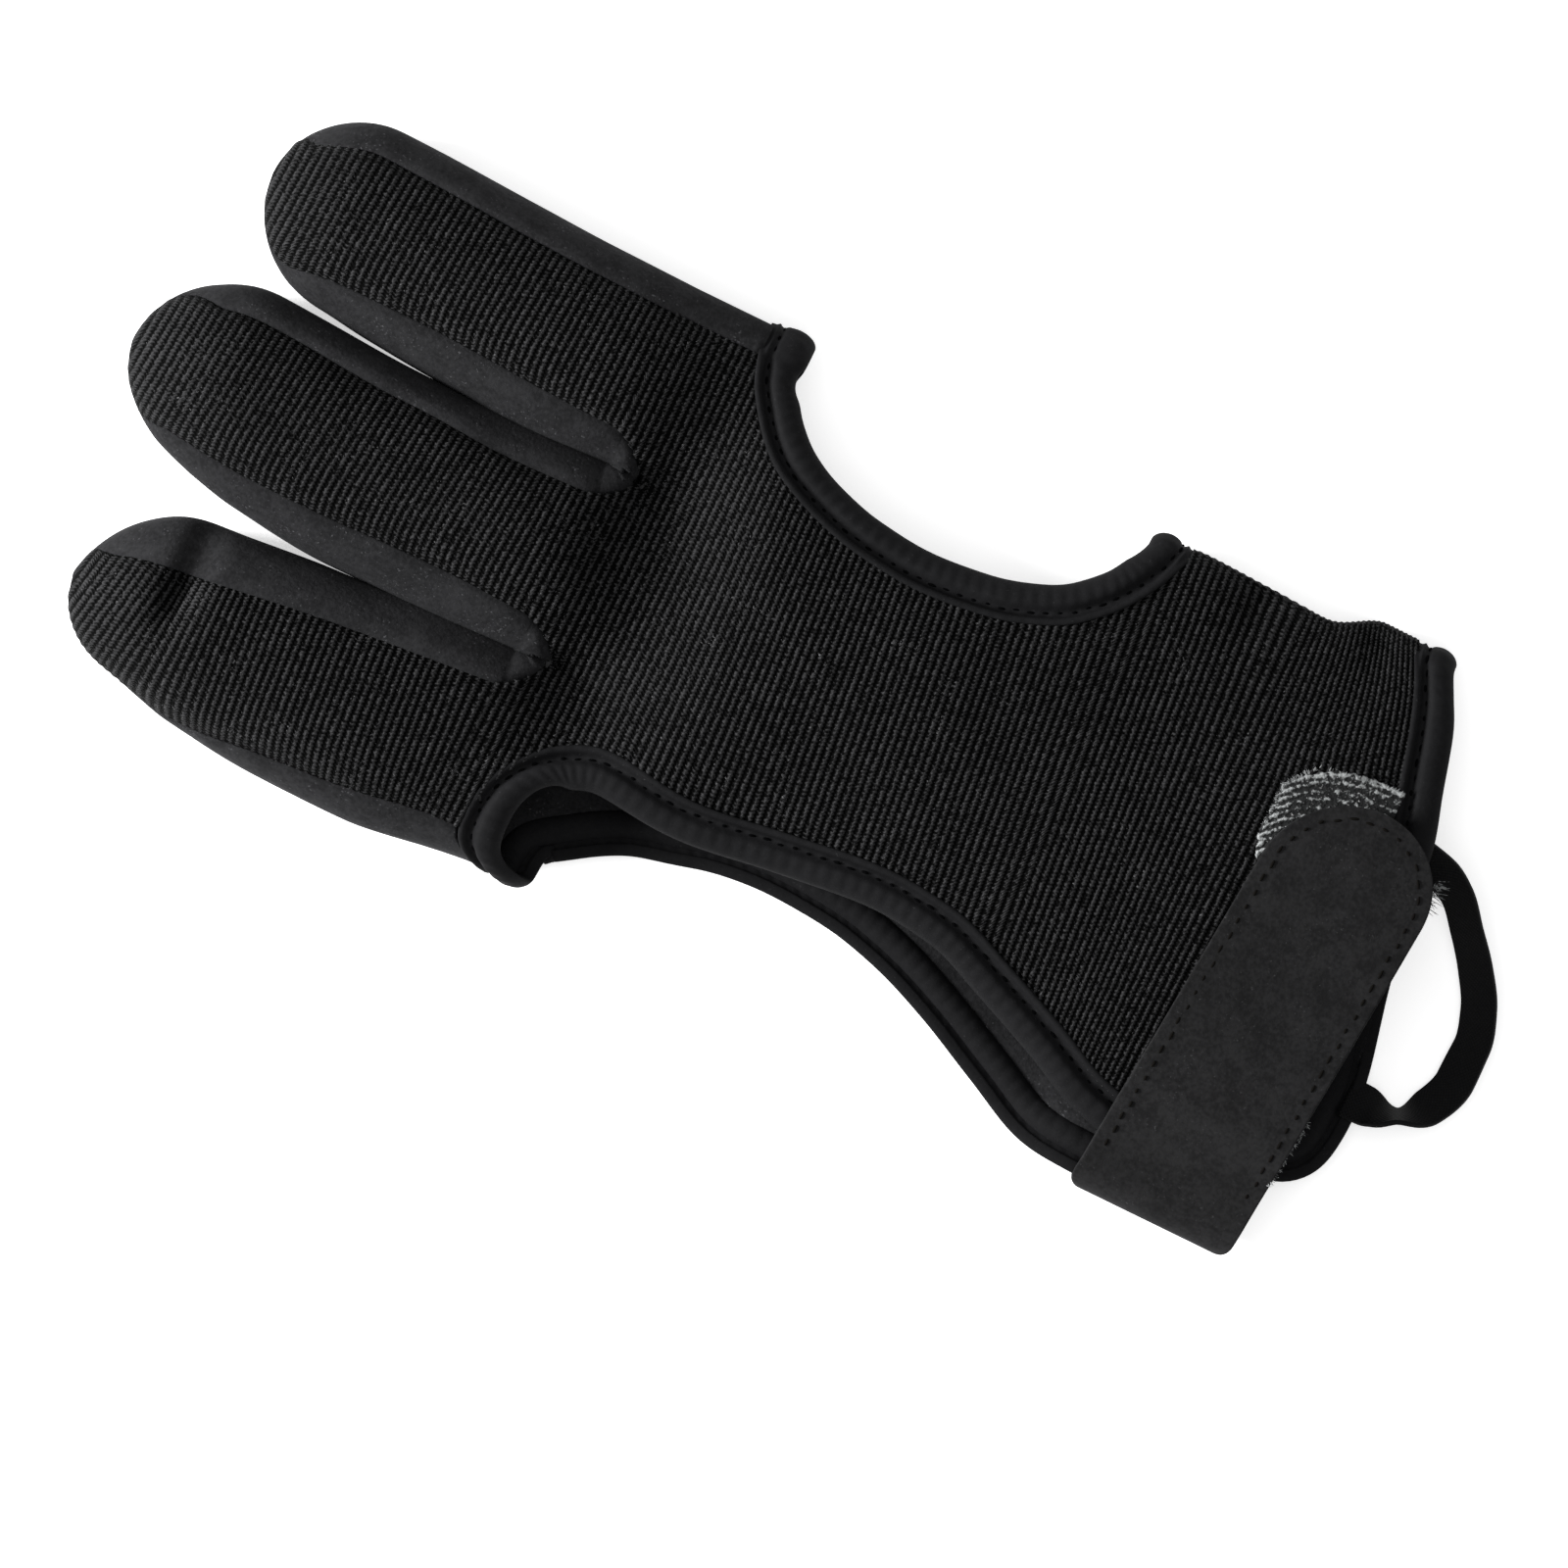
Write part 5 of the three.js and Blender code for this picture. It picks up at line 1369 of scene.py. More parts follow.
    def outer_strip(self, name: str, finger: Finger, side: Side, end: float) -> Piece:
        """Args: name: of the piece; finger, side: where; end: share where it ends. Returns: the strip."""
        past = np.linspace(self.form.root_x, self.plan.at_x(end) - self.PAST_SHY, self.PAST_ROWS)[1:]
        xs = np.concatenate([self.strip_xs(finger), past])
        places = self.strip_rows(finger, side, xs)
        if side is Side.LITTLE:
            places = self.at_mouth(places, eased(xs, xs[-1] - self.STRIP_EASE, xs[-1])[:, None])
        piece = SheetBuilder(name, Finish.FLANNEL, self.dresser).build(
            places, CLOTH, turned=side is Side.THUMB)
        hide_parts(name)
        return piece

    def meeting(self, rows: Array, way: int) -> Array:
        """Swells a gusset's side near the crotch, where two fingers press together.

        Args:
            rows: the side's rows, from the tip to the root.
            way: sign of y toward the other finger.

        Returns:
            The swollen rows.
        """
        first, last = self.ROOT_EASE
        near_root = eased(rows[:, :1, 0], self.form.root_x - first, self.form.root_x - last)
        belly = np.sin(np.linspace(0, np.pi, rows.shape[1]))[None, :]
        rows = rows.copy()
        rows[..., 1] += way * self.ROOT_BULGE * near_root * belly
        return rows

    def at_mouth(self, rows: Array, amount: Array | float) -> Array:
        """Leans the strip's end toward the wrist and draws it in, as the side opening's tape holds it.

        Args:
            rows: of the strip.
            amount: 0 where it runs free, 1 at the opening.

        Returns:
            The shaped rows.
        """
        share = np.linspace(0, 1, rows.shape[1])[None, :]
        rows = rows.copy()
        rows[..., 0] += self.MOUTH_LEAN * eased(share, 0.0, self.LEAN_SHARE) * amount
        rows[..., 1] += self.MOUTH_TAPER * np.sin(np.pi * share) * amount
        return rows

    def gusset(self, name: str, upper: Finger, lower: Finger, crotch: float) -> Piece:
        """Args: name: of the piece; upper, lower: its fingers; crotch: share across. Returns: the gusset."""
        down = self.meeting(self.strip_rows(upper, Side.LITTLE, self.strip_xs(upper)), -1)
        up = self.meeting(self.strip_rows(lower, Side.THUMB, self.strip_xs(lower)), 1)[::-1]
        root = self.form.root_x
        high, low = float(down[-1, 0, 1]), float(up[0, 0, 1])
        rounds = []
        for k in range(1, self.CROTCH_ROWS + 1):
            share = k / (self.CROTCH_ROWS + 1)
            row = mix(down[-1], up[0], share)
            reach = math.sin(math.pi * share)
            middle, half = self.notch(high, low, self.plan.at_y(crotch), reach)
            side = 1 if share < 0.5 else -1
            web = np.sin(np.linspace(0, math.pi, len(row)))
            edge = (self.form.crotch_x - root + self.WEB_TUCK) * reach
            pleat = self.PLEAT * math.sin(2 * math.pi * self.PLEATS * share) * reach
            row[:, 0] = root + edge * (1 - self.WEB * web) + pleat * web
            aside = middle + side * (half + self.WEB_TUCK * (1 - reach)) - row[0, 1]
            row[:, 1] += aside * (1 - web)
            off = abs(share - 0.5)
            folds = self.FOLD_RISE * math.exp(-(((off - self.FOLD_AT) / self.FOLD_WIDE) ** 2))
            row[:, 2] += (folds - self.HOLLOW * math.exp(-((off / self.HOLLOW_WIDE) ** 2))) * web ** 2
            row[0, 2] = float(self.form.top(row[0, 0], row[0, 1])) - self.WEB_TUCK
            rounds.append(row)
        grid = np.concatenate([down, np.array(rounds), up])
        piece = SheetBuilder(name, Finish.FLANNEL, self.dresser).build(grid, CLOTH)
        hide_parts(name)
        return piece

    def build(self) -> None:
        """Builds all the panels."""
        form = self.form
        logger.info("back: %s", self.ribbed_back().name)
        logger.info("palm: %s", self.palm_panel().name)
        for name, finger, side, end in (
                ("side_strip_a", form.finger_a, Side.THUMB, form.THUMB_START),
                ("side_strip_c", form.finger_c, Side.LITTLE, form.MOUTH_START)):
            logger.info("strip: %s", self.outer_strip(name, finger, side, end).name)
        for name, upper, lower, crotch in (
                ("gusset_ab", form.finger_a, form.finger_b, form.CROTCH_Y[0]),
                ("gusset_bc", form.finger_b, form.finger_c, form.CROTCH_Y[1])):
            logger.info("gusset: %s", self.gusset(name, upper, lower, crotch).name)


@dataclass
class TapePath:
    """Path of a binding's sewn edge: points, and the way its width runs at each.

    Args:
        at: points, n x 3.
        toward: unit directions, n x 3.
    """

    at: Array
    toward: Array

    @classmethod
    def joined(cls, *paths: TapePath) -> TapePath:
        """Args: paths: paths one after another. Returns: one path."""
        return cls(np.concatenate([p.at for p in paths]), np.concatenate([p.toward for p in paths]))

    def reversed(self) -> TapePath:
        """Returns: the path the other way round."""
        return TapePath(self.at[::-1], self.toward[::-1])

    def resampled(self, step: float, ring: bool) -> TapePath:
        """Args: step: distance between rows; ring: the path closes. Returns: the path with even rows."""
        at = np.concatenate([self.at, self.at[:1]]) if ring else self.at
        toward = np.concatenate([self.toward, self.toward[:1]]) if ring else self.toward
        lengths = np.concatenate([[0], np.cumsum(np.linalg.norm(np.diff(at, axis=0), axis=1))])
        count = int(lengths[-1] / step)
        where = np.linspace(0, lengths[-1], count + 1)
        if ring:
            where = where[:-1]
        points = np.stack([np.interp(where, lengths, at[:, k]) for k in range(3)], axis=1)
        ways = np.stack([np.interp(where, lengths, toward[:, k]) for k in range(3)], axis=1)
        return TapePath(points, ways / np.linalg.norm(ways, axis=1, keepdims=True))

    def softened(self, rounds: int, ring: bool) -> TapePath:
        """Args: rounds: of averaging; ring: the path closes. Returns: the smoother path."""
        at, toward = self.at.copy(), self.toward.copy()
        for _ in range(rounds):
            for line in (at, toward):
                before, after = np.roll(line, 1, axis=0), np.roll(line, -1, axis=0)
                mean = (before + 2 * line + after) / 4
                if ring:
                    line[:] = mean
                else:
                    line[1:-1] = mean[1:-1]
        return TapePath(at, toward / np.linalg.norm(toward, axis=1, keepdims=True))


class Bindings(Assembly):
    """The three bindings: round the thumb opening, the side opening and the wrist hem."""

    PROFILE = (
        (-1.1, 0.1), (-0.95, 0.45), (-0.6, 0.62), (-0.2, 0.58), (0.15, 0.2), (0.5, -0.22), (1.0, -0.28),
        (1.4, 0.15), (1.75, 0.7), (2.3, 0.92), (3.1, 0.94), (3.9, 0.78), (4.6, 0.44), (5.1, -0.05),
        (5.35, -0.6), (5.4, -1.1),
    )
    HEM, EDGE, GROOVE = slice(0, 3), slice(0, 4), slice(4, 8)
    GROOVE_FLOOR, STITCH_NODE, ROLL = slice(5, 7), 6, slice(8, 12)
    PIT, PUCKER = 0.3, 0.11
    WAVER, WAVER_STEP = 0.05, 1.9
    STITCH_ROWS, STITCH_RISE = 3, 0.12
    ROW_STEP = STITCH_PITCH / STITCH_ROWS
    MAX_DIP = 0.75
    THUMB_HOLE = (0.5595, 1.177)
    FOLD_TURN = (0.83, 0.93)
    FOLD_BULGE, FRONT_BULGE, WRIST_BULGE = 1.7, 5.1, 2.2
    FOLD_ROWS, FOLD_STEEP, FOLD_SINK, FOLD_FILL = 13, (0.15, 0.6), 0.7, 0.5
    FOLD_SPREAD, SPREAD_PAST = 0.14, 2.0
    ROUNDS, MOUTH_ROUNDS = 3, 12
    THUMB_ROWS, THUMB_ENDS = 90, (0.3, 0.6)
    MOUTH_TURN, LOW_TURN = 10.0, 3.5
    SIDE_ROWS, SIDE_CROWDING, SIDE_START, SIDE_END = 110, 1.7, 0.9, 0.868
    WRIST_ROWS, WRIST_ENDS, WRIST_TUCK = 80, (0.198, 0.9668), 0.3
    CORNER, CORNER_RADIUS, CORNER_TURN, CORNER_ROWS = 0.2224, 2.6, -80.0, 9

    def laid(self, x: Array, y: Array, heading: Array, height: HeightMap) -> TapePath:
        """Path on the back or the palm, the tape's width following the surface.

        Args:
            x, y: places.
            heading: way of the width in plan, radians.
            height: the surface.

        Returns:
            The path.
        """
        z = height(x, y)
        cx, sy = np.cos(heading), np.sin(heading)
        far = height(x + cx * TAPE_WIDTH, y + sy * TAPE_WIDTH)
        slope = np.clip((far - z) / TAPE_WIDTH, -self.MAX_DIP, self.MAX_DIP)
        toward = np.stack([cx, sy, slope], axis=1)
        return TapePath(np.stack([x, y, z], axis=1), toward / np.linalg.norm(toward, axis=1, keepdims=True))

    def folded(self, upper: TapePath, lower: TapePath, toward: Sequence[float], bulge: float) -> TapePath:
        """Fold of a tape between the back and the palm.

        Args:
            upper, lower: the paths it joins, last row to first.
            toward: way of its width.
            bulge: how far it stands out, mm.

        Returns:
            The fold's path.
        """
        share = np.linspace(0, 1, self.FOLD_ROWS + 2)[1:-1, None]
        at = mix(upper.at[-1], lower.at[0], share)
        at[:, 1] += np.sin(np.pi * share[:, 0]) * bulge
        return TapePath(at, np.repeat(np.array([toward], float), len(at), axis=0))

    def tape(self, name: str, path: TapePath, ring: bool, turned: bool, rounds: int = ROUNDS,
             ends: float = 1.0) -> Piece:
        """Lays a tape along its sewn edge.

        Args:
            name: of the piece.
            path: its sewn edge.
            ring, turned: as in SheetBuilder.
            rounds: of averaging along the edge.
            ends: how far its groove is filled where it folds from the back to the palm.

        Returns:
            The tape.
        """
        path = path.resampled(self.ROW_STEP, ring).softened(rounds, ring)
        reach, rise = np.array(self.PROFILE).T
        step = np.gradient(path.at, axis=0)
        steep = np.abs(step[:, 2]) / np.linalg.norm(step, axis=1)
        fold = ends * eased(steep, *self.FOLD_STEEP)[:, None]
        forward = np.clip(path.toward[:, :1], 0, 1) if ring else 0
        spread = reach[None, :] * (1 + self.FOLD_SPREAD * fold * forward * (reach > self.SPREAD_PAST))
        flat = path.at[:, None] + path.toward[:, None] * spread[..., None]
        normal = grid_normals(flat, ring) * (-1 if turned else 1)
        lift = np.repeat(rise[None, :], len(flat), axis=0)
        number = np.arange(len(flat))
        beat = np.cos(2 * np.pi * (number / self.STITCH_ROWS - 0.5))
        lift[:, self.GROOVE_FLOOR] -= self.PIT * np.maximum(beat, 0)[:, None]
        lift[:, self.ROLL] += self.PUCKER * beat[:, None]
        lift[:, self.HEM] += self.WAVER * np.sin(number * self.WAVER_STEP)[:, None]
        lift[:, self.EDGE] *= 1 - self.FOLD_SINK * fold
        lift[:, self.GROOVE] += self.FOLD_FILL * fold
        grid = flat + normal * lift[..., None]
        grid[..., 2] = np.maximum(grid[..., 2], 0.0)
        piece = SheetBuilder(name, Finish.BINDING, self.dresser).build(
            grid, TAPE_THICKNESS, ring=ring, turned=turned, rounded=1)
        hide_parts(name)
        line = grid[:, self.STITCH_NODE] + normal[:, self.STITCH_NODE] * self.STITCH_RISE
        pitch = self.STITCH_ROWS * float(np.linalg.norm(np.diff(line, axis=0), axis=1).mean())
        Stitches(self.dresser).run(name, line, normal[:, self.STITCH_NODE], ring, pitch)
        return piece

    def thumb(self) -> Piece:
        """Returns: the binding of the thumb opening."""
        form, plan = self.form, self.plan
        hole = plan.at_x(self.THUMB_HOLE[0]), plan.at_y(self.THUMB_HOLE[1])
        start = plan.at_x(form.THUMB_START) + self.THUMB_ENDS[0]
        end = plan.at_x(form.THUMB_END) - self.THUMB_ENDS[1]
        xs = mix(start, end, 0.5 - np.cos(np.linspace(0, np.pi, self.THUMB_ROWS)) / 2)

        def heading(x: Array, y: Array) -> Array:
            """Args: x, y: places. Returns: way of the tape's width there."""
            ahead = np.arctan2(hole[1] - y, hole[0] - x)
            turn = eased(y, *plan.span_y(self.FOLD_TURN))
            return mix(ahead, np.where(x > hole[0], np.pi, 0), turn)

        edge = plan.y(form.back_thumb(plan.share_x(xs)))
        over = self.laid(xs, edge, heading(xs, edge), form.top)
        low = form.palm_thumb_y(xs)
        under = self.laid(xs, low, heading(xs, low), form.tape_under).reversed()
        fold = self.folded(over, under, (-1, 0, 0), self.FOLD_BULGE)
        front = self.folded(over.reversed(), under.reversed(), (1, 0, 0), self.FRONT_BULGE).reversed()
        return self.tape("thumb_binding", TapePath.joined(over, fold, under, front), ring=True, turned=True)

    def side(self, panels: Panels) -> Piece:
        """Args: panels: which give the strip's end. Returns: the binding of the side opening."""
        form, plan = self.form, self.plan
        start, end = plan.at_x(form.MOUTH_START) + self.SIDE_START, plan.at_x(self.SIDE_END)
        share = np.linspace(0, 1, self.SIDE_ROWS) ** self.SIDE_CROWDING
        xs = mix(start, end, share)

        def path(x: Array, y: Array, height: HeightMap, turn: float) -> TapePath:
            """Args: x, y: places; height: the surface; turn: how far it takes to turn. Returns: the path."""
            heading = np.arctan2(-np.gradient(x), np.gradient(y))
            return self.laid(x, y, heading * eased(x, x[0], x[0] + turn), height)

        over = path(xs, form.back_little_y(xs), form.top, self.MOUTH_TURN).reversed()
        low_xs = mix(start + panels.MOUTH_LEAN, end, share)
        under = path(low_xs, form.palm_little_y(low_xs), form.tape_under, self.LOW_TURN)
        at = panels.at_mouth(panels.strip_rows(form.finger_c, Side.LITTLE, np.array([start])), 1.0)[0][:-1]
        mouth = TapePath(at, np.repeat([[1.0, 0.0, 0.0]], len(at), axis=0))
        return self.tape("side_binding", TapePath.joined(over, mouth, under), ring=False, turned=True,
                         rounds=self.MOUTH_ROUNDS, ends=0.0)

    def wrist(self) -> Piece:
        """Returns: the binding of the wrist hem."""
        form, plan = self.form, self.plan

        def path(hem: Curve, y: Array, height: HeightMap) -> TapePath:
            """Args: hem: its line; y: places; height: the surface. Returns: the path."""
            def place(at: Array) -> Array:
                """Args: at: places across. Returns: the hem's place along."""
                return plan.x(hem(plan.share_y(at)))

            heading = np.arctan2(-(place(y + 1) - place(y - 1)) / 2, 1)
            straight = eased(y, *plan.span_y(self.FOLD_TURN))
            return self.laid(place(y), y, heading * (1 - straight), height)

        start, end = self.WRIST_ENDS
        side_x = plan.at_x(form.back_hem(end))
        high = plan.at_y(form.back_thumb(plan.share_x(side_x)))
        over = path(form.back_hem, np.linspace(plan.at_y(start), high, self.WRIST_ROWS), form.top)
        low, corner_y = float(form.palm_thumb_y(side_x)) + self.WRIST_TUCK, plan.at_y(self.CORNER)
        under = path(form.palm_hem, np.linspace(low, corner_y, self.WRIST_ROWS), form.tape_under)
        fold = self.folded(over, under, (1, 0, 0), self.WRIST_BULGE)
        turn = np.radians(np.linspace(0, self.CORNER_TURN, self.CORNER_ROWS + 1))[1:]
        centre_x = plan.at_x(form.palm_hem(self.CORNER)) - self.CORNER_RADIUS
        x = centre_x + self.CORNER_RADIUS * np.cos(turn)
        y = corner_y + self.CORNER_RADIUS * np.sin(turn)
        corner = self.laid(x, y, turn, form.tape_under)
        whole = TapePath.joined(over, fold, under, corner)
        return self.tape("wrist_binding", whole, ring=False, turned=False)

    def build(self, panels: Panels) -> None:
        """Builds all the bindings. Args: panels: the cloth panels."""
        for piece in (self.thumb(), self.side(panels), self.wrist()):
            logger.info("binding: %s", piece.name)


@dataclass(frozen=True)
class Stitches:
    """Rows of thread, one rounded body a stitch.

    Args:
        dresser: the materials.
    """

    dresser: Dresser

    UNEVEN, UNEVEN_STEP = 0.28, 7.3
    STRAY, STRAY_STEP = 0.14, 3.7
    HALF_LENGTH, HALF_WIDTH, HALF_HEIGHT = 0.24, 0.22, 0.18
    REACH = 0.3

    def run(self, name: str, line: Array, normal: Array, ring: bool, pitch: float,
            finish: Finish = Finish.BINDING) -> Piece:
        """Sews stitches along a line.

        Args:
            name: of the piece they lie on.
            line: points, mm.
            normal: outward directions at them.
            ring: the line closes.
            pitch: distance between stitches.
            finish: their slot.

        Returns:
            The stitches.
        """
        if ring:
            line, normal = np.concatenate([line, line[:1]]), np.concatenate([normal, normal[:1]])
        lengths = np.concatenate([[0], np.cumsum(np.linalg.norm(np.diff(line, axis=0), axis=1))])
        count = int(lengths[-1] / pitch)
        bm = bmesh.new()
        for n in range(count):
            centre_at = (n + 0.5) * pitch
            here, ahead, behind, up = (
                Vector([float(np.interp(at, lengths, values[:, k])) for k in range(3)])
                for at, values in ((centre_at, line), (centre_at + self.REACH, line),
                                   (centre_at - self.REACH, line), (centre_at, normal))
            )
            along = (ahead - behind).normalized()
            side = up.cross(along).normalized()
            out = along.cross(side).normalized()
            turn = Matrix((along, side, out)).transposed().to_4x4()
            uneven = 1 + self.UNEVEN * math.sin(self.UNEVEN_STEP * n)
            here = here + side * (self.STRAY * math.sin(self.STRAY_STEP * n))
            size = Matrix.Diagonal((
                self.HALF_LENGTH * pitch * uneven * MM, self.HALF_WIDTH * MM, self.HALF_HEIGHT * MM, 1.0))
            bmesh.ops.create_icosphere(
                bm, subdivisions=2, radius=1.0, matrix=Matrix.Translation(here * MM) @ turn @ size)
        for face in bm.faces:
            face.smooth = True
        piece = placed(f"{name}_stitches", bm)
        self.dresser.dress(piece, finish, thread=True)
        return piece


class Closure(Assembly):
    """The suede closure, the loop patch and the hook patch under it."""

    FOLD, END, UNDER, MIDDLE, LEAN = 0.0, 0.7212, 0.2699, 0.9005, 0.079
    SETTLE, ON_BACK = (0.0597, 0.2035), 0.1372
    SIDE_TOP, SIDE_RADIUS = 0.62 * GLOVE_HEIGHT, 5.0
    SEWN_ROWS, TURN_ROWS, OVER_ROWS, OVER_START = 11, 25, 90, 0.5
    STACK = 3 * LAY_GAP + 2 * PATCH_THICKNESS + STRAP_THICKNESS
    TIP = 0.004
    FOLD_CORNER = 1.6
    LOOP_CORNER = 6.0
    WAVE, WAVE_LENGTHS, WAVE_START = 0.12, (4.0, 7.0), 0.6
    SEW_START, SEW_INSET, SEW_ROWS, SEW_RISE, SEW_PITCH = 0.07, 1.9, 120, 0.03, 2.3
    LOOP_ALONG, LOOP_ACROSS, LOOP_ROWS, LOOP_COLUMNS = (0.853, 0.932), (0.3805, 0.7644), 90, 60
    LOOP_LEAN, LOOP_HIDDEN, LOOP_SINK = 4.0, (0.5, 0.615), 0.3
    LOOP_FRAY = ((0.16, 3.1, 4), (0.14, 4.3, 8))
    FLECK, FLECK_WAVES, FLECK_ROW, FLECK_PITCH = 0.07, ((5.1, 2.0, 2.3), (4.7, 1.5, 3.1)), 0.1, 1.3
    HOOK_ACROSS, HOOK_ROWS, HOOK_COLUMNS, HOOK_INSETS = (0.2367, 0.5907), 60, 24, (2.2, 0.2)
    HOOK_FRAY = (0.25, 2.9, 0.9)
    ACROSS = (-1.0, -0.985, -0.93, -0.8, -0.6, -0.4, -0.2, 0.0, 0.2, 0.4, 0.6, 0.8, 0.93, 0.985, 1.0)

    def outline(self, y: Array) -> tuple[Array, Array]:
        """Args: y: rows. Returns: the closure's middle and half width there."""
        plan = self.plan
        start = plan.at_y(self.END) - STRAP_WIDTH / 2
        over = np.clip((y - start) / (STRAP_WIDTH / 2), 0, 1)
        closing = np.sqrt(np.maximum(1 - over**2, self.TIP))
        middle = plan.at_x(self.MIDDLE) + (y - plan.at_y(self.FOLD)) * self.LEAN
        return middle, STRAP_WIDTH / 2 * closing

    def lay(self, x: Array, y: Array, stack: float) -> Array:
        """Args: x, y: places; stack: height above the back. Returns: the closure's height there."""
        plan = self.plan
        on_back = self.form.top(x, np.maximum(y, plan.at_y(self.ON_BACK))) + stack
        return mix(self.SIDE_TOP, on_back, eased(y, *plan.span_y(self.SETTLE)))

    def strap(self) -> Piece:
        """Returns: the closure, from under the palm round its fold to its rounded end."""
        plan = self.plan
        fold, end = plan.at_y(self.FOLD), plan.at_y(self.END)
        sewn = np.linspace(plan.at_y(self.UNDER), fold + self.SIDE_RADIUS, self.SEWN_ROWS + 1)[:-1]
        turn = np.linspace(-np.pi / 2, np.pi / 2, self.TURN_ROWS)
        turned_y = fold + self.SIDE_RADIUS * (1 - np.cos(turn))
        turned_z = self.SIDE_TOP / 2 * (1 + np.sin(turn))
        start = fold + self.SIDE_RADIUS + self.OVER_START
        over = mix(start, end, np.sin(np.linspace(0, np.pi / 2, self.OVER_ROWS)))
        y = np.concatenate([sewn, turned_y, over])
        middle, half = self.outline(y)
        from_fold = np.clip((y - fold) / self.FOLD_CORNER, 0, 1)
        half = half - self.FOLD_CORNER * (1 - np.sqrt(1 - (1 - from_fold) ** 2))
        x = middle[:, None] + half[:, None] * np.array(self.ACROSS)[None, :]
        ys = np.repeat(y[:, None], x.shape[1], axis=1)
        flat = np.concatenate([np.zeros(len(sewn)), turned_z])[:, None] * np.ones(x.shape[1])
        laid = self.lay(x[len(flat):], ys[len(flat):], self.STACK)
        z = np.concatenate([flat, laid])
        grid = np.stack([x, ys, z], axis=-1)
        along, across = self.WAVE_LENGTHS
        wave = self.WAVE * np.sin(x / along + self.WAVE_START) * np.sin(ys / across)
        piece = SheetBuilder("closure_strap", Finish.SUEDE, self.dresser).build(
            grid, STRAP_THICKNESS, lift=np.where(z > self.SIDE_TOP, wave, 0.0), rounded=1)
        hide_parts("closure_strap")
        self.sew(plan.at_y(self.SEW_START), end)
        return piece

    def sew(self, start: float, end: float) -> None:
        """Sews the closure's edge stitches. Args: start, end: rows between which they run."""
        ys = mix(start, end - self.SEW_INSET, np.sin(np.linspace(0, np.pi / 2, self.SEW_ROWS)))
        round_start = end - STRAP_WIDTH / 2
        half = STRAP_WIDTH / 2 - self.SEW_INSET
        over = np.clip((ys - round_start) / half, 0, 1)
        reach = half * np.sqrt(np.maximum(1 - over**2, 0))
        middle, _ = self.outline(ys)
        left = np.stack([middle - reach, ys], axis=1)
        right = np.stack([middle + reach, ys], axis=1)[::-1]
        path = np.concatenate([left, right])
        z = self.lay(path[:, 0], path[:, 1], self.STACK)
        line = np.column_stack([path, z + self.SEW_RISE])
        up = np.repeat([[0.0, 0.0, 1.0]], len(line), axis=0)
        Stitches(self.dresser).run("closure_strap", line, up, False, self.SEW_PITCH, Finish.SUEDE)

    def loop_patch(self) -> Piece:
        """Returns: the flecked loop tape on the back."""
        plan = self.plan
        (left, right), (low, high) = plan.span_x(self.LOOP_ALONG), plan.span_y(self.LOOP_ACROSS)
        share = np.linspace(0, 1, self.LOOP_COLUMNS)[None, :]
        up = np.linspace(0, 1, self.LOOP_ROWS)[:, None]
        end = high - self.LOOP_CORNER * (1 - share) ** 3
        y = mix(low, end, up)
        inward = self.LOOP_LEAN * (1 - eased(y, *plan.span_y(self.LOOP_HIDDEN)))
        (fray_x, wave_x, fade_x), (fray_y, wave_y, fade_y) = self.LOOP_FRAY
        x = mix(left + inward, right, share) + fray_x * np.sin(y * wave_x) * (1 - share) ** fade_x
        y = y + fray_y * np.sin(x * wave_y) * up**fade_y
        z = self.form.top(x, y) + LAY_GAP + PATCH_THICKNESS - self.LOOP_SINK
        (run_x, sway_x, swing_y), (run_y, sway_y, swing_x) = self.FLECK_WAVES
        fuzz = np.sin(x * run_x + sway_x * np.sin(y * swing_y))
        fuzz = fuzz * np.sin(y * run_y + sway_y * np.sin(x * swing_x))
        rows = np.sin(2 * np.pi * (end - y) / self.FLECK_PITCH)
        piece = SheetBuilder("loop_patch", Finish.LOOP_PILE, self.dresser).build(
            np.stack([x, y, z], axis=-1), PATCH_THICKNESS, lift=self.FLECK * fuzz + self.FLECK_ROW * rows,
            cloth_uv=(end - y, (right - left) * share + 0 * y))
        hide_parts("loop_patch")
        return piece

    def hook_patch(self) -> Piece:
        """Returns: the hook tape under the closure, its frayed edge showing past it."""
        y = np.linspace(*self.plan.span_y(self.HOOK_ACROSS), self.HOOK_ROWS)
        middle, half = self.outline(y)
        left, right = middle - half + self.HOOK_INSETS[0], middle + half - self.HOOK_INSETS[1]
        fray, quick, slow = self.HOOK_FRAY
        right = right + fray * np.sin(y * quick) * np.sin(y * slow)
        share = np.linspace(0, 1, self.HOOK_COLUMNS)
        x = mix(left[:, None], right[:, None], share[None, :])
        ys = np.repeat(y[:, None], len(share), axis=1)
        z = self.lay(x, ys, self.STACK - STRAP_THICKNESS - LAY_GAP)
        piece = SheetBuilder("hook_patch", Finish.HOOK_TAPE, self.dresser).build(
            np.stack([x, ys, z], axis=-1), PATCH_THICKNESS)
        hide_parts("hook_patch")
        return piece

    def build(self) -> None:
        """Builds the closure's pieces."""
        for piece in (self.strap(), self.loop_patch(), self.hook_patch()):
            logger.info("closure: %s", piece.name)


@dataclass(frozen=True)
class Tuft:
    """Row of loose fibres along an edge.

    Args:
        start, end: ends of the edge, as shares along and across.
        heading: way the fibres point in plan, radians.
        count: number of fibres.
        length: longest fibre, mm.
        height: of the edge over the back, mm.
    """

    start: tuple[float, float]
    end: tuple[float, float]
    heading: float
    count: int
    length: float
    height: float


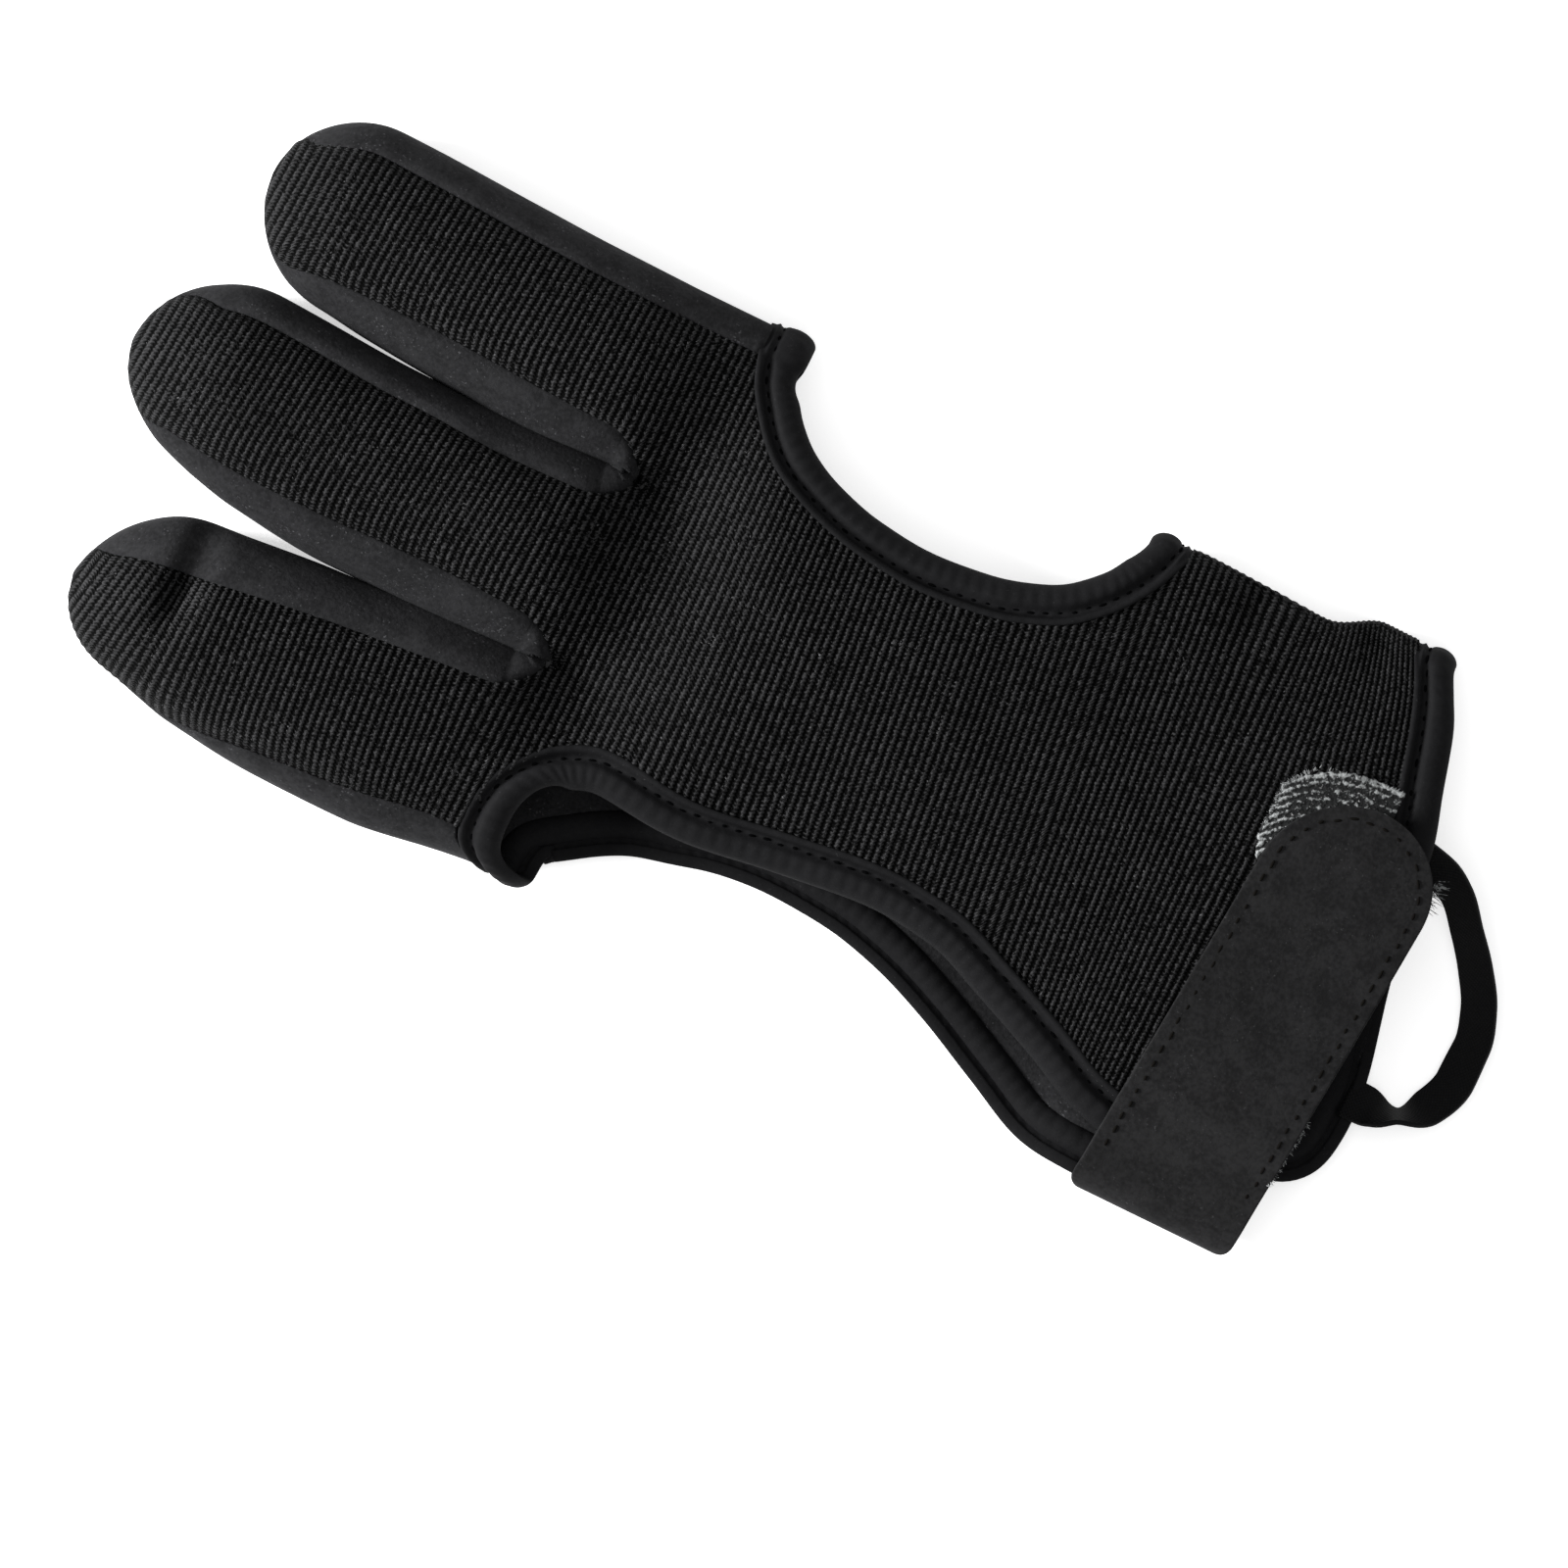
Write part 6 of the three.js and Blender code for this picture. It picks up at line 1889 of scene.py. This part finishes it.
class Fringe(Assembly):
    """Loose fibres: round the loop patch, at the hook patch's edge and by the ribbon's upper end."""

    SEED = 11
    THICK, THIN = 0.075, 0.03
    SPREAD, TILT = 0.7, (0.05, 0.5)
    SHORTEST = 0.35
    SIDES = 5
    PLACES = {
        "loop_patch_fibres": (
            Tuft((0.8545, 0.62), (0.8545, 0.7), math.pi, 46, 0.9, 0.9),
            Tuft((0.8555, 0.7), (0.87, 0.738), 2.5, 30, 0.8, 0.9),
            Tuft((0.87, 0.742), (0.93, 0.7624), 1.75, 60, 0.65, 0.9),
        ),
        "hook_patch_fibres": (
            Tuft((0.9645, 0.13), (0.9705, 0.245), -0.2, 70, 0.9, 2.2),
        ),
        "ribbon_end_fibres": (
            Tuft((0.977, 0.618), (0.978, 0.665), 0.0, 34, 2.6, -2.0),
        ),
    }

    def tuft(self, bm: bmesh.types.BMesh, tuft: Tuft, draw: random.Random) -> None:
        """Args: bm: takes the fibres; tuft: the row; draw: where the uneven lengths and ways come from."""
        for _ in range(tuft.count):
            share = draw.random()
            x = self.plan.at_x(mix(tuft.start[0], tuft.end[0], share))
            y = self.plan.at_y(mix(tuft.start[1], tuft.end[1], share))
            z = float(self.form.top(np.array(x), np.array(y))) + tuft.height
            heading = tuft.heading + draw.uniform(-self.SPREAD, self.SPREAD)
            tilt = draw.uniform(*self.TILT)
            flat = math.cos(tilt)
            way = Vector((math.cos(heading) * flat, math.sin(heading) * flat, math.sin(tilt)))
            length = tuft.length * draw.uniform(self.SHORTEST, 1.0)
            middle = Vector((x, y, z)) + way * length / 2
            turn = way.to_track_quat("Z", "Y").to_matrix().to_4x4()
            bmesh.ops.create_cone(
                bm, cap_ends=True, segments=self.SIDES, radius1=self.THICK * MM, radius2=self.THIN * MM,
                depth=length * MM, matrix=Matrix.Translation(middle * MM) @ turn)

    def build(self) -> None:
        """Builds all the fibres, one piece a place."""
        draw = random.Random(self.SEED)
        for name, tufts in self.PLACES.items():
            bm = bmesh.new()
            for tuft in tufts:
                self.tuft(bm, tuft, draw)
            self.dresser.dress(placed(name, bm), Finish.LOOP_PILE)
            logger.info("fibres: %s", name)


class PullLoop(Assembly):
    """The thin ribbon sewn at the wrist hem at both ends.

    Its rows give the share along, the share across, the share of the height, and the tilt in degrees.
    """

    ROWS = (
        (0.958, 0.69, 0.46, 38.0), (0.98, 0.6782, 0.42, 38.0), (0.996, 0.659, 0.36, 46.0),
        (1.013, 0.6173, 0.26, 48.0), (1.03, 0.5708, 0.19, 44.0), (1.045, 0.5155, 0.15, 40.0),
        (1.052, 0.458, 0.135, 36.0), (1.052, 0.4027, 0.13, 30.0), (1.043, 0.3473, 0.15, 35.0),
        (1.0265, 0.314, 0.2, 74.0), (1.012, 0.3064, 0.2, 46.0), (1.0025, 0.3064, 0.19, 25.0),
        (0.988, 0.3064, 0.17, 20.0),
    )
    STEPS = 120
    ACROSS = (-0.5, -0.48, -0.4, -0.2, 0.0, 0.2, 0.4, 0.48, 0.5)

    def build(self) -> Piece:
        """Returns: the ribbon."""
        rows = np.array(self.ROWS)
        points = np.column_stack([
            self.plan.x(rows[:, 0]), self.plan.y(rows[:, 1]), GLOVE_HEIGHT * rows[:, 2]])
        lengths = np.concatenate([[0], np.cumsum(np.linalg.norm(np.diff(points, axis=0), axis=1))])
        where = np.linspace(0, lengths[-1], self.STEPS)
        curves = [Curve(tuple(lengths), tuple(column)) for column in (*points.T, rows[:, 3])]
        x, y, z, turn = (curve(where) for curve in curves)
        at = np.stack([x, y, z], axis=1)
        tangent = np.gradient(at, axis=0)
        outward = np.stack([-tangent[:, 1], tangent[:, 0], np.zeros(len(at))], axis=1)
        outward /= np.linalg.norm(outward, axis=1, keepdims=True)
        turn = np.radians(turn)[:, None]
        width = outward * np.cos(turn) + np.array([[0.0, 0.0, 1.0]]) * np.sin(turn)
        grid = at[:, None] + width[:, None] * (np.array(self.ACROSS)[None, :, None] * RIBBON_WIDTH)
        piece = SheetBuilder("pull_loop", Finish.RIBBON, self.dresser).build(
            grid, RIBBON_THICKNESS, lift=RIBBON_THICKNESS / 2)
        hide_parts("pull_loop")
        return piece


@dataclass(frozen=True)
class Studio:
    """The white surface, the light and the camera.

    Args:
        plan: the frame.
    """

    plan: Frame2D

    DISTANCE = 3.0
    SENSOR = 36.0
    CLIP = (0.05, 10.0)
    CENTRE_SHIFT = (9.3, 2.8)
    FLOOR_GAP, FLOOR_HALF = 0.0002, 1.6
    FLOOR_LOOK = {
        "Base Color": (0.94, 0.94, 0.94, 1.0), "Roughness": 0.95, "Specular IOR Level": 0.1,
        "Emission Color": (1.0, 1.0, 1.0, 1.0), "Emission Strength": 0.55,
    }
    LAMPS = {
        "soft_above": ((0.0, 0.0, 1.5), 1.3, 5.0),
        "raking": ((-0.93, -0.33, 0.45), 0.35, 30.0),
    }
    WORLD_STRENGTH = 0.5

    def floor(self) -> Piece:
        """Returns: the white surface that the glove lies on."""
        bm = bmesh.new()
        low = Matrix.Translation((0.0, 0.0, -self.FLOOR_GAP))
        bmesh.ops.create_grid(bm, x_segments=1, y_segments=1, size=self.FLOOR_HALF, matrix=low)
        piece = placed("white_surface", bm)
        material, _ = principled("white_surface", self.FLOOR_LOOK)
        piece.data.materials.append(material)
        return piece

    def lamp(self, name: str, place: tuple[float, float, float], size: float,
             power: float) -> Piece:
        """Args: name: its name; place, size: of its square, in metres; power: watts. Returns: the lamp."""
        data = bpy.data.lights.new(name, "AREA")
        data.size = size
        data.energy = power
        lamp = bpy.data.objects.new(name, data)
        lamp.location = place
        lamp.rotation_euler = (-Vector(place)).to_track_quat("-Z", "Y").to_euler()
        bpy.context.scene.collection.objects.link(lamp)
        return lamp

    def camera(self) -> Piece:
        """Returns: the camera, straight above and turned as the photo is."""
        middle_x = PHOTO_CENTRE[0] - self.CENTRE_SHIFT[0] + self.plan.shift_x
        middle_y = PHOTO_CENTRE[1] - self.CENTRE_SHIFT[1] + self.plan.shift_y
        data = bpy.data.cameras.new("camera")
        data.sensor_width = self.SENSOR
        data.lens = data.sensor_width * self.DISTANCE / (PHOTO_WIDTH * MM)
        data.clip_start, data.clip_end = self.CLIP
        camera = bpy.data.objects.new("camera", data)
        camera.location = (middle_x * MM, middle_y * MM, self.DISTANCE)
        camera.rotation_euler = (0.0, 0.0, PHOTO_TURN)
        bpy.context.scene.collection.objects.link(camera)
        bpy.context.scene.camera = camera
        return camera

    def build(self) -> None:
        """Sets up the surface, the lights, the world and the camera."""
        self.floor()
        for name, (place, size, power) in self.LAMPS.items():
            self.lamp(name, place, size, power)
        world = bpy.data.worlds.new("white_room")
        world.use_nodes = True
        background = world.node_tree.nodes["Background"]
        background.inputs["Color"].default_value = (1.0, 1.0, 1.0, 1.0)
        background.inputs["Strength"].default_value = self.WORLD_STRENGTH
        scene = bpy.context.scene
        scene.world = world
        scene.view_settings.view_transform = "Standard"
        self.camera()


def main() -> None:
    """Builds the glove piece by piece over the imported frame."""
    logging.basicConfig(level=logging.INFO)
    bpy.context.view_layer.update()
    plan = Frame2D.from_cad()
    form = GloveForm(plan)
    dresser = Dresser(Effects())
    panels = Panels(form, dresser)
    Studio(plan).build()
    panels.build()
    Bindings(form, dresser).build(panels)
    Closure(form, dresser).build()
    logger.info("ribbon: %s", PullLoop(form, dresser).build().name)
    Fringe(form, dresser).build()


if __name__ == "__main__":
    main()
